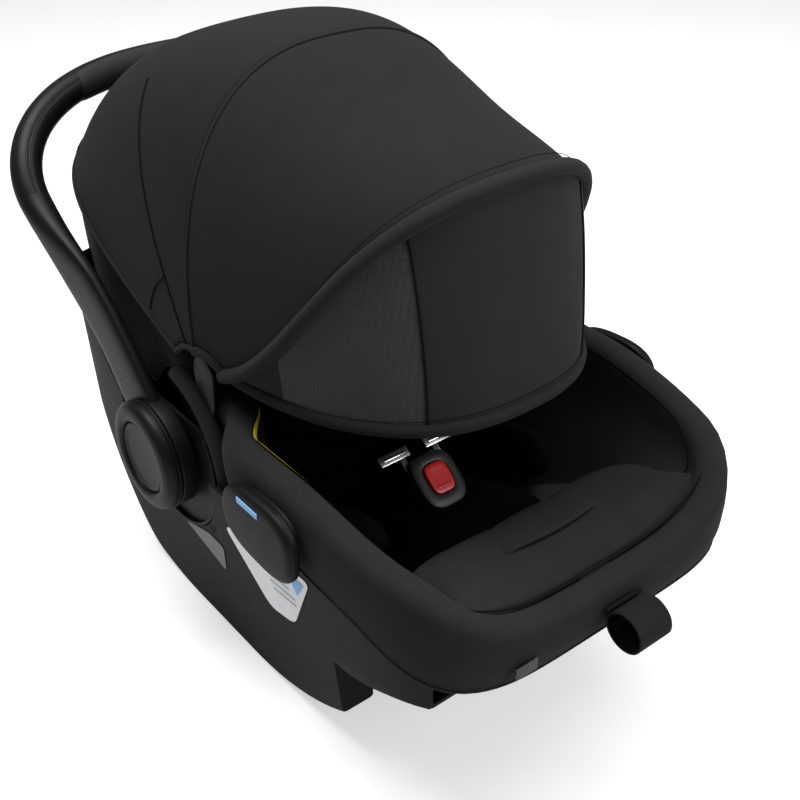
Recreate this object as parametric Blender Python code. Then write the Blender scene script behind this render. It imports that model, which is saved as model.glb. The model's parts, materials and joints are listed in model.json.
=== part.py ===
"""Rear-facing infant car seat with a rotating carry handle, folding canopy and five-point harness.

Metres, +Z up. The foot end points along -Y and the head end along +Y. The baby's right side
is at -X. The seat stands on its two runners at z = 0.
"""

import math

import bmesh
import bpy
from mathutils import Matrix, Vector

# Clearances and wall thicknesses
GAP = 0.0003
WALL = 0.004
FOAM = 0.009
FOAM_SEAT = 0.0016
RIM_STEPS = 44
BOWL_STEPS = 7

# Shell plan and profile
SHELL_FRONT_Y = -0.347
SHELL_BACK_Y = 0.352
HALF_WIDTH = 0.188
HEAD_HALF_WIDTH = 0.158
HUB_HALF_WIDTH = 0.152
FOOT_CORNER_POWER = 6.0
HEAD_CORNER_POWER = 3.6
FOOT_RIM_Z = 0.272
MID_RIM_Z = 0.296
HEAD_RIM_Z = 0.440
FLOOR_LOW_Y = 0.020
FLOOR_LOW_Z = 0.072
FLOOR_FOOT_RISE = 0.143
FLOOR_HEAD_RISE = 0.318

# Runners under the shell
RUNNER_FLAT_HALF = 0.055
RUNNER_MID_Y = 0.030
RUNNER_CURVE = 2.0
RUNNER_FRONT_Y = -0.200
RUNNER_OUTER_X = 0.166
RUNNER_INNER_X = 0.138
PANEL_FRONT_Y = -0.318
PANEL_BACK_Y = 0.300

# Handle hub, arms and bar
HUB_Y = 0.065
HUB_Z = 0.228
HUB_RADIUS = 0.058
RECESS_RADIUS = 0.086
RECESS_FLOOR_X = 0.1795
ARM_INNER_X = 0.1895
ARM_OUTER_X = 0.2065
CAP_OUTER_X = 0.2235
BUTTON_RADIUS = 0.037
HANDLE_REST_DEG = 45.0
HANDLE_CROWN = 0.411
ARM_REACH = 0.318
TUBE_RADIUS = 0.0145
GEAR_TEETH = 9

# Canopy
CANOPY_Y = 0.000
CANOPY_Z = 0.340
CLOTH = 0.003
REAR_BOW_DEG = 95.0
FRONT_BOW_DEG = 45.0
VISOR_BOW_DEG = 4.0
REAR_EDGE_DEG = 158.5
REAR_BOW_REACH = 0.270
FRONT_BOW_REACH = 0.302
VISOR_BOW_REACH = 0.235
REAR_EDGE_REACH = 0.350
BOW_RADIUS = 0.003

# Harness
WEB_WIDTH = 0.038
WEB_THICK = 0.0016
BUCKLE_Y = -0.118
BUCKLE_Z = 0.215
BUCKLE_TILT_DEG = 38.0

# Belt guides on the rim
GUIDE_Y = -0.150
GUIDE_Z = 0.272
GUIDE_OUTER_X = 0.2260

SIDES = (("right", -1), ("left", 1))


def clear_scene():
    for obj in list(bpy.data.objects):
        bpy.data.objects.remove(obj, do_unlink=True)


def material(name, colour, roughness, metallic=0.0):
    mat = bpy.data.materials.new(name)
    mat.use_nodes = True
    shader = mat.node_tree.nodes["Principled BSDF"]
    shader.inputs["Base Color"].default_value = (*colour, 1.0)
    shader.inputs["Roughness"].default_value = roughness
    shader.inputs["Metallic"].default_value = metallic
    mat.diffuse_color = (*colour, 1.0)
    return mat


# ---------------------------------------------------------------- shape helpers


def smooth(value, low, high):
    """0 below low, 1 above high, eased between them."""
    t = min(1.0, max(0.0, (value - low) / (high - low)))
    return t * t * (3.0 - 2.0 * t)


def sheet(columns, rows, shape):
    """A grid whose points are placed by shape(u, v), with u and v from 0 to 1."""
    bm = bmesh.new()
    bmesh.ops.create_grid(bm, x_segments=columns, y_segments=rows, size=1.0)
    for vert in bm.verts:
        vert.co = shape((vert.co.x + 1.0) / 2.0, (vert.co.y + 1.0) / 2.0)
    bmesh.ops.remove_doubles(bm, verts=bm.verts, dist=1e-6)
    return bm


def close_up(bm):
    """Caps every open edge loop and turns the faces outward."""
    open_edges = [edge for edge in bm.edges if edge.is_boundary]
    if open_edges:
        bmesh.ops.holes_fill(bm, edges=open_edges, sides=0)
    bmesh.ops.recalc_face_normals(bm, faces=bm.faces)
    return bm


def face_out(bm, inside):
    """Turns an open sheet's faces away from a point on its hollow side."""
    bmesh.ops.recalc_face_normals(bm, faces=bm.faces)
    facing = sum(f.normal.dot(f.calc_center_median() - inside) * f.calc_area() for f in bm.faces)
    if facing < 0.0:
        bmesh.ops.reverse_faces(bm, faces=bm.faces)
    return bm


def thicken(obj, thickness, outward=True):
    """Gives a sheet its wall."""
    solid = obj.modifiers.new("Wall", "SOLIDIFY")
    solid.thickness = thickness
    solid.offset = 1.0 if outward else -1.0
    return obj


def corner(points, u):
    """The corner of a closed polygon at u = 0 to 1, for a grid with one column per corner."""
    return points[round(u * len(points)) % len(points)]


def oval(u, half_a, half_b, power=1.0):
    """A point of a rounded rectangle; a power below 1 squares its corners."""
    c = math.cos(2.0 * math.pi * u)
    s = math.sin(2.0 * math.pi * u)
    a = half_a * math.copysign(abs(c) ** power, c)
    b = half_b * math.copysign(abs(s) ** power, s)
    return a, b


def revolved(profile, centre, segments):
    """A solid turned about a line along X through centre, from a closed profile of (x, radius)."""

    def shape(u, v):
        x, radius = corner(profile, v)
        turn = 2.0 * math.pi * u
        y = centre[0] + radius * math.cos(turn)
        z = centre[1] + radius * math.sin(turn)
        return Vector((x, y, z))

    return close_up(sheet(segments, len(profile), shape))


def swept(section, path, count):
    """A solid swept along path(v). section(v) lists (sideways, up) corners; path gives a frame."""
    corners = len(section(0.0))

    def shape(u, v):
        side, up = corner(section(v), u)
        place, across, rise = path(v)
        return place + across * side + rise * up

    return close_up(sheet(corners, count, shape))


def add(name, bm, mat, origin=(0.0, 0.0, 0.0), parent=None):
    """Puts the mesh in the scene as one named object whose origin is at the given place."""
    origin = Vector(origin)
    bmesh.ops.translate(bm, verts=bm.verts, vec=-origin)
    mesh = bpy.data.meshes.new(name)
    bm.to_mesh(mesh)
    bm.free()
    mesh.materials.append(mat)
    mesh.shade_smooth()
    mesh.set_sharp_from_angle(angle=math.radians(35.0))
    obj = bpy.data.objects.new(name, mesh)
    bpy.context.scene.collection.objects.link(obj)
    obj.location = origin
    if parent is not None:
        obj.parent = parent
        obj.matrix_parent_inverse = Matrix.Translation(-Vector(parent.location))
    return obj


def empty(name, origin):
    obj = bpy.data.objects.new(name, None)
    obj.location = origin
    bpy.context.scene.collection.objects.link(obj)
    return obj


def box(low, high):
    bm = bmesh.new()
    bmesh.ops.create_cube(bm, size=1.0)
    low = Vector(low)
    high = Vector(high)
    size = high - low
    bmesh.ops.scale(bm, verts=bm.verts, vec=size)
    bmesh.ops.translate(bm, verts=bm.verts, vec=(low + high) / 2.0)
    return bm


def soften(bm, width, segments=2):
    """Bevels the sharp edges."""
    edges = [e for e in bm.edges if e.calc_face_angle(0.0) > math.radians(40.0)]
    bmesh.ops.bevel(
        bm,
        geom=edges,
        offset=width,
        segments=segments,
        profile=0.5,
        affect="EDGES",
        clamp_overlap=True,
        material=-1,
    )
    return bm


def rod(start, end, radius, segments=16):
    """A round bar between two points."""
    start = Vector(start)
    end = Vector(end)
    bm = bmesh.new()
    bmesh.ops.create_cone(
        bm,
        cap_ends=True,
        segments=segments,
        radius1=radius,
        radius2=radius,
        depth=(end - start).length,
    )
    turn = (end - start).to_track_quat("Z", "Y").to_matrix()
    bmesh.ops.rotate(bm, verts=bm.verts, matrix=turn)
    bmesh.ops.translate(bm, verts=bm.verts, vec=(start + end) / 2.0)
    return bm


def tilt(bm, degrees, pivot):
    """Turns the mesh about a line along X through pivot."""
    turn = Matrix.Rotation(math.radians(degrees), 3, "X")
    bmesh.ops.rotate(bm, verts=bm.verts, cent=Vector(pivot), matrix=turn)
    return bm


def boolean(obj, cutter_mesh, operation="DIFFERENCE"):
    """Cuts the object with a helper, or joins the helper to it."""
    mesh = bpy.data.meshes.new(obj.name + "_tool")
    close_up(cutter_mesh)
    cutter_mesh.to_mesh(mesh)
    cutter_mesh.free()
    tool = bpy.data.objects.new(obj.name + "_tool", mesh)
    bpy.context.scene.collection.objects.link(tool)
    tool.hide_render = True
    tool.display_type = "WIRE"
    modifier = obj.modifiers.new("Boolean", "BOOLEAN")
    modifier.operation = operation
    modifier.solver = "EXACT"
    modifier.object = tool
    return tool


# ---------------------------------------------------------------- shell profile


def rim_z(y):
    foot = FOOT_RIM_Z + (MID_RIM_Z - FOOT_RIM_Z) * smooth(y, SHELL_FRONT_Y, -0.150)
    return foot + (HEAD_RIM_Z - MID_RIM_Z) * smooth(y, -0.020, 0.345)


def half_width(y):
    """Half the shell's width at the rim, before the corners round it off."""
    width = HALF_WIDTH + (HEAD_HALF_WIDTH - HALF_WIDTH) * smooth(y, 0.080, 0.260)
    beside_hub = 1.0 - smooth(abs(y - HUB_Y), 0.088, 0.150)
    return width + (HUB_HALF_WIDTH - width) * beside_hub


def floor_z(y):
    """Height of the bucket's floor along its middle: the seat pan, then the back."""
    if y < FLOOR_LOW_Y:
        return FLOOR_LOW_Z + FLOOR_FOOT_RISE * ((FLOOR_LOW_Y - y) / 0.35) ** 1.3
    return FLOOR_LOW_Z + FLOOR_HEAD_RISE * ((y - FLOOR_LOW_Y) / 0.32) ** 1.3


def inside_rim(x, y):
    """Whether a point of the plan lies inside the rim."""
    middle = (SHELL_FRONT_Y + SHELL_BACK_Y) / 2.0
    half_length = (SHELL_BACK_Y - SHELL_FRONT_Y) / 2.0
    power = HEAD_CORNER_POWER if y > middle else FOOT_CORNER_POWER
    place = (abs(x) / half_width(y)) ** power + (abs(y - middle) / half_length) ** power
    return place < 1.0


def rim_plan(turn):
    """The rim's plan point in the direction of a turn from 0 to 1."""
    middle = (SHELL_FRONT_Y + SHELL_BACK_Y) / 2.0
    way = Vector((math.cos(2.0 * math.pi * turn), 1.35 * math.sin(2.0 * math.pi * turn)))
    way.normalize()
    low = 0.05
    high = 0.60
    for _ in range(28):
        reach = (low + high) / 2.0
        if inside_rim(way.x * reach, middle + way.y * reach):
            low = reach
        else:
            high = reach
    return Vector((way.x * low, middle + way.y * low, 0.0))


def rim_path(u):
    """Where the rim runs: a point of its plan, with the outward direction there."""
    before = rim_plan(u - 0.004)
    after = rim_plan(u + 0.004)
    outward = Vector((after.y - before.y, before.x - after.x, 0.0)).normalized()
    return rim_plan(u), outward


def bowl(u, level, inset):
    """The bucket's inner surface: level 0 is the rim, level 1 the middle of the floor."""
    place, outward = rim_path(u)
    spread = math.cos(level * math.pi / 2.0) ** 0.9
    sink = math.sin(level * math.pi / 2.0) ** 0.7
    flat = (place - outward * inset) * spread
    middle_y = FLOOR_LOW_Y * (1.0 - spread)
    y = flat.y + middle_y
    top = rim_z(y)
    bottom = floor_z(y) + inset
    return Vector((flat.x, y, top + (bottom - top) * sink))


def bowl_z(x, y):
    """Height of the bucket's inner surface at a point of its plan."""
    low = 0.0
    high = 1.0
    for _ in range(24):
        spread = (low + high) / 2.0
        if inside_rim(x / spread, FLOOR_LOW_Y + (y - FLOOR_LOW_Y) / spread):
            high = spread
        else:
            low = spread
    cosine = high ** (1.0 / 0.9)
    sink = max(0.0, 1.0 - cosine * cosine) ** 0.35
    return rim_z(y) + (floor_z(y) - rim_z(y)) * sink


def liner_z(x, y):
    """Height just above the foam that lines the bucket."""
    step = 0.004
    here = bowl_z(x, y)
    slope_x = (bowl_z(abs(x) + step, y) - here) / step
    slope_y = (bowl_z(x, y + step) - bowl_z(x, y - step)) / (2.0 * step)
    steep = math.sqrt(1.0 + slope_x * slope_x + slope_y * slope_y)
    return here + (FOAM + FOAM_SEAT + 0.0050) * min(steep, 3.5)


def panel_bottom(y):
    """Lower edge of the side panel: the runner, the raised foot end and the rising back."""
    reach = max(0.0, abs(y - RUNNER_MID_Y) - RUNNER_FLAT_HALF)
    runner = RUNNER_CURVE * reach * reach
    if y < RUNNER_FRONT_Y:
        return 0.132 + 0.035 * smooth(y, RUNNER_FRONT_Y, -0.34)
    if y < RUNNER_FRONT_Y + 0.001:
        return 0.132
    if y > 0.170:
        return runner + 0.150 * smooth(y, 0.170, 0.310)
    return runner


def flank_x(y, z):
    """Outer face of the side panel."""
    top_x = half_width(y) if abs(y - HUB_Y) > 0.20 else HALF_WIDTH
    place = (y - (SHELL_FRONT_Y + SHELL_BACK_Y) / 2.0) / ((SHELL_BACK_Y - SHELL_FRONT_Y) / 2.0)
    power = HEAD_CORNER_POWER if place > 0.0 else FOOT_CORNER_POWER
    top_x = top_x * (1.0 - min(0.98, abs(place)) ** power) ** (1.0 / power) + WALL + 0.0055
    lean = (top_x - RUNNER_OUTER_X) * (0.245 - z) / 0.245
    return top_x - max(lean, -0.004)


# ---------------------------------------------------------------- shell


def make_bucket(mats):
    bm = sheet(RIM_STEPS, BOWL_STEPS, lambda u, v: bowl(u, v, 0.0))
    face_out(bm, Vector((0.0, FLOOR_LOW_Y, 0.30)))
    thicken(add("inner_bucket", bm, mats["shell"]), WALL)


def make_foam(mats):
    first = 2.0 / BOWL_STEPS
    rows = BOWL_STEPS - 2
    bm = sheet(RIM_STEPS, rows, lambda u, v: bowl(u, first + (1.0 - first) * v, FOAM_SEAT))
    face_out(bm, Vector((0.0, FLOOR_LOW_Y, 0.30)))
    thicken(add("foam_liner", bm, mats["foam"]), FOAM, outward=False)


def make_side_panel(name, side, mats):
    """Outer skin of one side, with the runner that the seat stands on along its lower edge."""

    def section(y):
        low = panel_bottom(y)
        high = rim_z(y) - 0.060 - 0.024 * (1.0 - smooth(y, -0.330, -0.240))
        low = min(low, high - 0.012)
        web = max(low + 0.008, min(floor_z(y) - 0.020, high - 0.010))
        outer_low = flank_x(y, low)
        outer_high = flank_x(y, high)
        inner = min(RUNNER_INNER_X, outer_low - 0.012)
        return (
            (outer_high, high),
            (flank_x(y, (high + low) / 2.0), (high + low) / 2.0),
            (outer_low, low),
            (inner, low),
            (inner, web),
            (inner + WALL, web),
            (inner + WALL, low + WALL),
            (outer_low - WALL, low + WALL),
            (flank_x(y, (high + low) / 2.0) - WALL, (high + low) / 2.0 + WALL / 2.0),
            (outer_high - WALL, high),
        )

    stations = [PANEL_FRONT_Y, -0.300, -0.275, -0.245, RUNNER_FRONT_Y - 0.0005]
    count = 18
    for index in range(count + 1):
        stations.append(RUNNER_FRONT_Y + 0.001 + (PANEL_BACK_Y - RUNNER_FRONT_Y) * index / count)

    def shape(u, v):
        y = stations[round(v * (len(stations) - 1))]
        x, z = corner(section(y), u)
        return Vector((side * x, y, z))

    bm = close_up(sheet(10, len(stations) - 1, shape))
    obj = add(name, bm, mats["shell"])
    toe = box(
        (min(side * 0.1393, side * 0.1652), RUNNER_FRONT_Y + 0.0042, 0.0672),
        (max(side * 0.1393, side * 0.1652), RUNNER_FRONT_Y + 0.0104, 0.1301),
    )
    boolean(obj, toe, "UNION")
    arm_way = box(
        (min(side * 0.1750, side * 0.240), HUB_Y, HUB_Z - 0.044),
        (max(side * 0.1750, side * 0.240), HUB_Y + 0.260, HUB_Z + 0.060),
    )
    boolean(obj, tilt(arm_way, HANDLE_REST_DEG, (0.0, HUB_Y, HUB_Z)))
    hole = rod(
        (side * 0.170, HUB_Y, HUB_Z), (side * 0.240, HUB_Y, HUB_Z), RECESS_RADIUS + 0.0015, 36
    )
    boolean(obj, hole)
    return obj


def make_belly(mats):
    """Pan that closes the underside between the runners."""
    front = -0.185
    back = 0.215

    def shape(u, v):
        y = front + (back - front) * v
        x = (2.0 * u - 1.0) * (RUNNER_INNER_X - 0.002)
        return Vector((x, y, floor_z(y) - 0.010))

    bm = face_out(sheet(4, 12, shape), Vector((0.0, FLOOR_LOW_Y, 0.30)))
    thicken(add("belly_pan", bm, mats["shell"]), WALL)


def make_latch_bars(mats):
    reach = RUNNER_INNER_X - GAP
    for name, y, z in (("latch_bar_front", -0.135, 0.075), ("latch_bar_rear", 0.150, 0.075)):
        add(name, rod((-reach, y, z), (reach, y, z), 0.005, 12), mats["steel"])


def make_hub_recess(name, side, mats):
    """Round pocket in the shell's side with the axle that carries the handle."""
    floor = RECESS_FLOOR_X
    rim = 0.1885
    axle = ARM_OUTER_X - 0.002
    profile = (
        (side * floor, 0.0),
        (side * floor, RECESS_RADIUS),
        (side * rim, RECESS_RADIUS),
        (side * rim, RECESS_RADIUS - 0.003),
        (side * (floor + WALL), RECESS_RADIUS - 0.003),
        (side * (floor + WALL), 0.014),
        (side * (ARM_INNER_X - 0.001), 0.012),
        (side * (ARM_INNER_X - 0.001), 0.008),
        (side * axle, 0.008),
        (side * axle, 0.0),
    )

    def shape(u, v):
        x, radius = profile[round(v * (len(profile) - 1))]
        turn = 2.0 * math.pi * u
        return Vector((x, HUB_Y + radius * math.cos(turn), HUB_Z + radius * math.sin(turn)))

    bm = close_up(sheet(28, len(profile) - 1, shape))
    obj = add(name, bm, mats["hub"])
    # The pocket is open at the top, where the arm and the canopy mount leave it.
    low = min(side * 0.178, side * 0.200)
    high = max(side * 0.178, side * 0.200)
    boolean(obj, box((low, -0.10, 0.272), (high, 0.23, 0.36)))
    return obj


def make_lock_gear(name, side, mats):
    """Toothed wheel fixed to the axle; the handle's button frees the arm from it."""
    low = ARM_INNER_X + 0.0015
    high = ARM_INNER_X + 0.0095
    steps = 4 * GEAR_TEETH

    def shape(u, v):
        tooth = round(u * steps) % 4
        outer = 0.031 if tooth in (1, 2) else 0.027
        x, radius = corner(((low, 0.0095), (low, outer), (high, outer), (high, 0.0095)), v)
        turn = 2.0 * math.pi * u
        return Vector(
            (side * x, HUB_Y + radius * math.cos(turn), HUB_Z + radius * math.sin(turn))
        )

    add(name, close_up(sheet(steps, 4, shape)), mats["steel"])


def make_belt_guide(name, side, mats):
    """Pod on the rim with a slot under its cap for a vehicle belt."""

    def pod(inner, outer, half_y, half_z, crown):
        def shape(u, v):
            stage = round(v * 5)
            spread = (0.0, 1.0, 1.0, 0.93, 0.6, 0.0)[stage]
            x = (inner, inner, outer - crown, outer - 0.4 * crown, outer, outer)[stage]
            a, b = oval(u, half_y * spread, half_z * spread, 0.75)
            return Vector((side * x, GUIDE_Y + a, GUIDE_Z + b))

        return close_up(sheet(24, 5, shape))

    obj = add(name, pod(0.2122, GUIDE_OUTER_X, 0.056, 0.041, 0.006), mats["guide"])
    tool = pod(0.2078, 0.2130, 0.046, 0.030, 0.001)
    boolean(obj, tool, "UNION")
    return obj


def make_guide_strip(name, side, mats):
    low = min(side * (GUIDE_OUTER_X + GAP), side * (GUIDE_OUTER_X + 0.0010))
    high = max(side * (GUIDE_OUTER_X + GAP), side * (GUIDE_OUTER_X + 0.0010))
    z = GUIDE_Z + 0.012
    bm = box((low, GUIDE_Y - 0.016, z), (high, GUIDE_Y + 0.016, z + 0.006))
    add(name, bm, mats["blue"])


# ---------------------------------------------------------------- soft parts


def make_rim_roll(mats):
    """Padded fabric edge that hooks over the rim all the way round."""

    def shape(u, v):
        place, outward = rim_path(v)
        top = rim_z(place.y)
        foot = 1.0 - smooth(place.y, -0.330, -0.240)
        hub = 1.0 - smooth(abs(place.y - HUB_Y), 0.090, 0.150)
        leg = 0.056 + 0.022 * foot - 0.030 * hub
        centre = Vector((0.0, FLOOR_LOW_Y, 0.0))
        sink = min(1.0, 0.020 / (top - floor_z(place.y * 0.97)))
        shrink = 1.0 - (1.0 - sink ** (2.0 / 0.7)) ** 0.45
        inner = -0.0034 - shrink * (place - centre).dot(outward)
        section = (
            (WALL + 0.0014, -leg),
            (0.0150, -leg),
            (0.0185, -0.020),
            (0.0160, 0.010),
            (0.0030, 0.020),
            (-0.0120, 0.014),
            (min(-0.0155, inner - 0.0105), -0.004),
            (min(-0.0150, inner - 0.0100), -0.018),
            (inner, -0.018),
            (-0.0012, 0.0025),
            (WALL + 0.0010, 0.0025),
        )
        n, z = corner(section, u)
        return Vector((place.x + outward.x * n, place.y + outward.y * n, top + z))

    add("rim_roll", close_up(sheet(11, RIM_STEPS, shape)), mats["fabric"])


def cushion(name, mat, low_y, high_y, half, tall, stations=10):
    """Pad that lies on the liner and rises to a height above the middle of the floor."""

    def shape(u, v):
        y = low_y + (high_y - low_y) * v
        wide = half(y)
        top = floor_z(y) + tall(y)
        low = [liner_z(wide * part, y) for part in (0.0, 0.45, 0.75, 1.0)]
        edge = max(top - 0.009, low[3] + 0.004)
        section = (
            (-wide, edge),
            (-wide + 0.012, max(top, edge + 0.002)),
            (0.0, max(top, edge + 0.002) + 0.003),
            (wide - 0.012, max(top, edge + 0.002)),
            (wide, edge),
            (wide - 0.001, low[3]),
            (wide * 0.75, low[2]),
            (wide * 0.45, low[1]),
            (0.0, low[0]),
            (-wide * 0.45, low[1]),
            (-wide * 0.75, low[2]),
            (-wide + 0.001, low[3]),
        )
        x, z = corner(section, u)
        return Vector((x, y, z))

    return add(name, close_up(sheet(12, stations, shape)), mat)


def make_seat(mats):
    seat = cushion(
        "seat_cushion",
        mats["fabric"],
        -0.306,
        -0.202,
        lambda y: 0.112 + 0.020 * smooth(y, -0.205, -0.290),
        lambda y: 0.053 + 0.010 * smooth(y, -0.320, -0.230),
    )
    boolean(seat, box((-0.030, -0.284, 0.225), (0.030, -0.262, 0.300)))
    cushion(
        "infant_insert",
        mats["insert"],
        -0.1985,
        0.040,
        lambda y: 0.092,
        lambda y: 0.058,
    )
    cushion(
        "back_cushion",
        mats["fabric"],
        0.042,
        0.276,
        lambda y: 0.090 - 0.012 * smooth(y, 0.10, 0.27),
        lambda y: 0.056 + 0.008 * smooth(y, 0.05, 0.25),
    )


def make_side_pad(name, side, mats):
    """Padding along one inner wall of the bucket."""

    def wall_x(y, z):
        low = 0.06
        high = half_width(y)
        for _ in range(18):
            x = (low + high) / 2.0
            if liner_z(x, y) < z:
                low = x
            else:
                high = x
        return low - 0.006

    def shape(u, v):
        y = -0.235 + 0.405 * v
        top = rim_z(y) - 0.030
        base = max(floor_z(y) + 0.078, top - 0.100)
        base = min(base, top - 0.014)
        section = (
            (wall_x(y, top), top),
            (wall_x(y, (top + base) / 2.0), (top + base) / 2.0),
            (wall_x(y, base), base),
            (wall_x(y, base) - 0.012, base),
            (wall_x(y, (top + base) / 2.0) - 0.016, (top + base) / 2.0),
            (wall_x(y, top) - 0.010, top),
        )
        x, z = corner(section, u)
        return Vector((side * x, y, z))

    add(name, close_up(sheet(6, 18, shape)), mats["fabric"])


def headrest_frame():
    """Where the headrest starts, with the directions up the back and out of it."""
    slope = math.radians(50.0)
    along = Vector((0.0, math.cos(slope), math.sin(slope)))
    out = Vector((0.0, -math.sin(slope), math.cos(slope)))
    start = Vector((0.0, 0.180, floor_z(0.180) + 0.072))
    return start, along, out


def make_headrest(mats):
    start, along, out = headrest_frame()

    def slab(half, thick, low, high, power):
        def shape(u, v):
            stage = round(v * 5)
            spread = (0.0, 0.95, 1.0, 1.0, 0.95, 0.0)[stage]
            a, b = oval(u, half * spread, (high - low) / 2.0 * spread, power)
            rise = (0.0, 0.0, 0.2, 0.8, 1.0, 1.0)[stage] * thick
            return start + Vector((a, 0.0, 0.0)) + along * ((low + high) / 2.0 + b) + out * rise

        return close_up(sheet(20, 5, shape))

    board = slab(0.070, 0.004, 0.0, 0.115, 0.5)
    add("headrest_board", board, mats["shell"], start)
    pad = slab(0.076, 0.020, 0.002, 0.118, 0.6)
    bmesh.ops.translate(pad, verts=pad.verts, vec=out * (0.004 + GAP))
    add("headrest_pad", pad, mats["fabric"], start)


# ---------------------------------------------------------------- harness


def strap(name, mat, points, width, thick, across=(1.0, 0.0, 0.0), steps=12, lift=0.0, span=(0, 1)):
    """Flat webbing, or a pad lifted off it, along part of a smooth line through the points."""
    knots = [Vector(p) for p in points]
    across = Vector(across).normalized()

    def along(v):
        reach = (span[0] + (span[1] - span[0]) * v) * (len(knots) - 1)
        index = min(int(reach), len(knots) - 2)
        t = reach - index
        before = knots[max(0, index - 1)]
        start = knots[index]
        end = knots[index + 1]
        after = knots[min(len(knots) - 1, index + 2)]
        return 0.5 * (
            2.0 * start
            + (end - before) * t
            + (2.0 * before - 5.0 * start + 4.0 * end - after) * t * t
            + (3.0 * start - before - 3.0 * end + after) * t * t * t
        )

    def shape(u, v):
        a = max(0.0, v - 0.002)
        b = min(1.0, v + 0.002)
        forward = (along(b) - along(a)).normalized()
        rise = forward.cross(across).normalized()
        wide = rise.cross(forward)
        half = width / 2.0
        x, z = corner(((-half, 0.0), (half, 0.0), (half, thick), (-half, thick)), u)
        return along(v) + wide * x + rise * (z + lift)

    return add(name, close_up(sheet(4, steps, shape)), mat)


def make_harness(mats):
    for name, side in SIDES:
        shoulder = (
            (side * 0.046, 0.168, 0.278),
            (side * 0.048, 0.105, 0.222),
            (side * 0.048, 0.035, 0.196),
            (side * 0.044, -0.030, 0.216),
            (side * 0.036, -0.062, 0.238),
        )
        flat = (-1.0, 0.0, 0.0)
        webbing = mats["webbing"]
        strap("shoulder_strap_" + name, webbing, shoulder, 0.030, WEB_THICK, flat)
        strap(
            "shoulder_pad_" + name,
            mats["fabric"],
            shoulder,
            0.050,
            0.009,
            flat,
            6,
            WEB_THICK + 0.0012,
            (0.06, 0.52),
        )
        hip = (
            (side * 0.098, -0.040, 0.178),
            (side * 0.083, -0.054, 0.192),
            (side * 0.064, -0.066, 0.212),
        )
        strap("hip_strap_" + name, webbing, hip, 0.030, WEB_THICK, (0.0, 1.0, 0.35), 6)


def make_buckle(mats):
    """Crotch buckle with its press button, tongues, strap and pad."""
    centre = Vector((0.0, BUCKLE_Y, BUCKLE_Z))

    def pill(half_x, half_y, low, high, power, crown):
        def shape(u, v):
            stage = round(v * 5)
            spread = (0.0, 0.94, 1.0, 1.0, 1.0 - crown, 0.0)[stage]
            a, b = oval(u, half_x * spread, half_y * spread, power)
            rise = low + (0.0, 0.0, 0.15, 0.80, 1.0, 1.0)[stage] * (high - low)
            return centre + Vector((a, b, rise))

        return close_up(sheet(20, 5, shape))

    body = tilt(pill(0.0255, 0.029, -0.010, 0.010, 0.62, 0.12), BUCKLE_TILT_DEG, centre)
    obj = add("buckle_body", body, mats["plastic"])
    well = tilt(pill(0.0155, 0.0185, -0.004, 0.020, 0.6, 0.0), BUCKLE_TILT_DEG, centre)
    boolean(obj, well)
    for side in (-1, 1):
        x0 = side * 0.0175
        x1 = side * 0.0240
        slit = box(
            (min(x0, x1), BUCKLE_Y + 0.010, BUCKLE_Z - 0.0022),
            (max(x0, x1), BUCKLE_Y + 0.040, BUCKLE_Z + 0.0022),
        )
        boolean(obj, tilt(slit, BUCKLE_TILT_DEG, centre))
    button = tilt(pill(0.0150, 0.0180, 0.0055, 0.0110, 0.6, 0.10), BUCKLE_TILT_DEG, centre)
    add("buckle_button", button, mats["red"], centre)
    for name, side in SIDES:
        blade = box(
            (min(side * 0.0180, side * 0.0235), BUCKLE_Y + 0.0125, BUCKLE_Z - 0.0012),
            (max(side * 0.0180, side * 0.0235), BUCKLE_Y + 0.0340, BUCKLE_Z + 0.0012),
        )
        tongue = add(
            "tongue_" + name, tilt(blade, BUCKLE_TILT_DEG, centre), mats["chrome"], centre
        )
        head = box(
            (min(side * 0.0100, side * 0.0460), BUCKLE_Y + 0.0330, BUCKLE_Z - 0.0012),
            (max(side * 0.0100, side * 0.0460), BUCKLE_Y + 0.0430, BUCKLE_Z + 0.0012),
        )
        tool = boolean(tongue, tilt(head, BUCKLE_TILT_DEG, centre), "UNION")
        tool.location = (0.0, 0.0, 0.0)
    strap(
        "crotch_strap",
        mats["webbing"],
        ((0.0, -0.178, 0.209), (0.0, -0.162, 0.206), (0.0, -0.146, 0.199)),
        WEB_WIDTH,
        WEB_THICK,
        (-1.0, 0.0, 0.0),
        6,
    )
    pad = box((-0.030, BUCKLE_Y - 0.030, BUCKLE_Z - 0.019), (0.030, BUCKLE_Y + 0.046, BUCKLE_Z - 0.012))
    soften(pad, 0.0025)
    add("crotch_pad", tilt(pad, BUCKLE_TILT_DEG, centre), mats["insert"])


def make_adjuster(mats):
    """Strap that tightens the harness, and the release lever under the cushion's flap."""
    pull = Vector((0.0, -math.cos(math.radians(24.0)), -math.sin(math.radians(24.0))))
    out = Vector((0.0, pull.z, -pull.y))
    root = Vector((0.0, -0.3690, 0.213))

    def shape(u, v):
        turn = 2.0 * math.pi * v
        radius = 0.0165 + WEB_THICK * (1.0 if round(u * 4) % 4 in (1, 2) else 0.0)
        length = 0.0235 + radius * math.cos(turn) * 1.12
        height = radius * math.sin(turn) * 0.95
        side = -WEB_WIDTH / 2.0 if round(u * 4) % 4 in (0, 1) else WEB_WIDTH / 2.0
        return root + Vector((side, 0.0, 0.0)) + pull * length + out * height

    bm = close_up(sheet(4, 28, shape))
    add("adjuster_strap", bm, mats["webbing"], root + pull * 0.0235)
    pivot = (0.0, -0.268, 0.236)
    lever = box((-0.022, -0.282, 0.2345), (0.022, -0.264, 0.2385))
    soften(lever, 0.001, 1)
    add("adjuster_lever", lever, mats["plastic"], pivot)


# ---------------------------------------------------------------- handle


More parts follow.
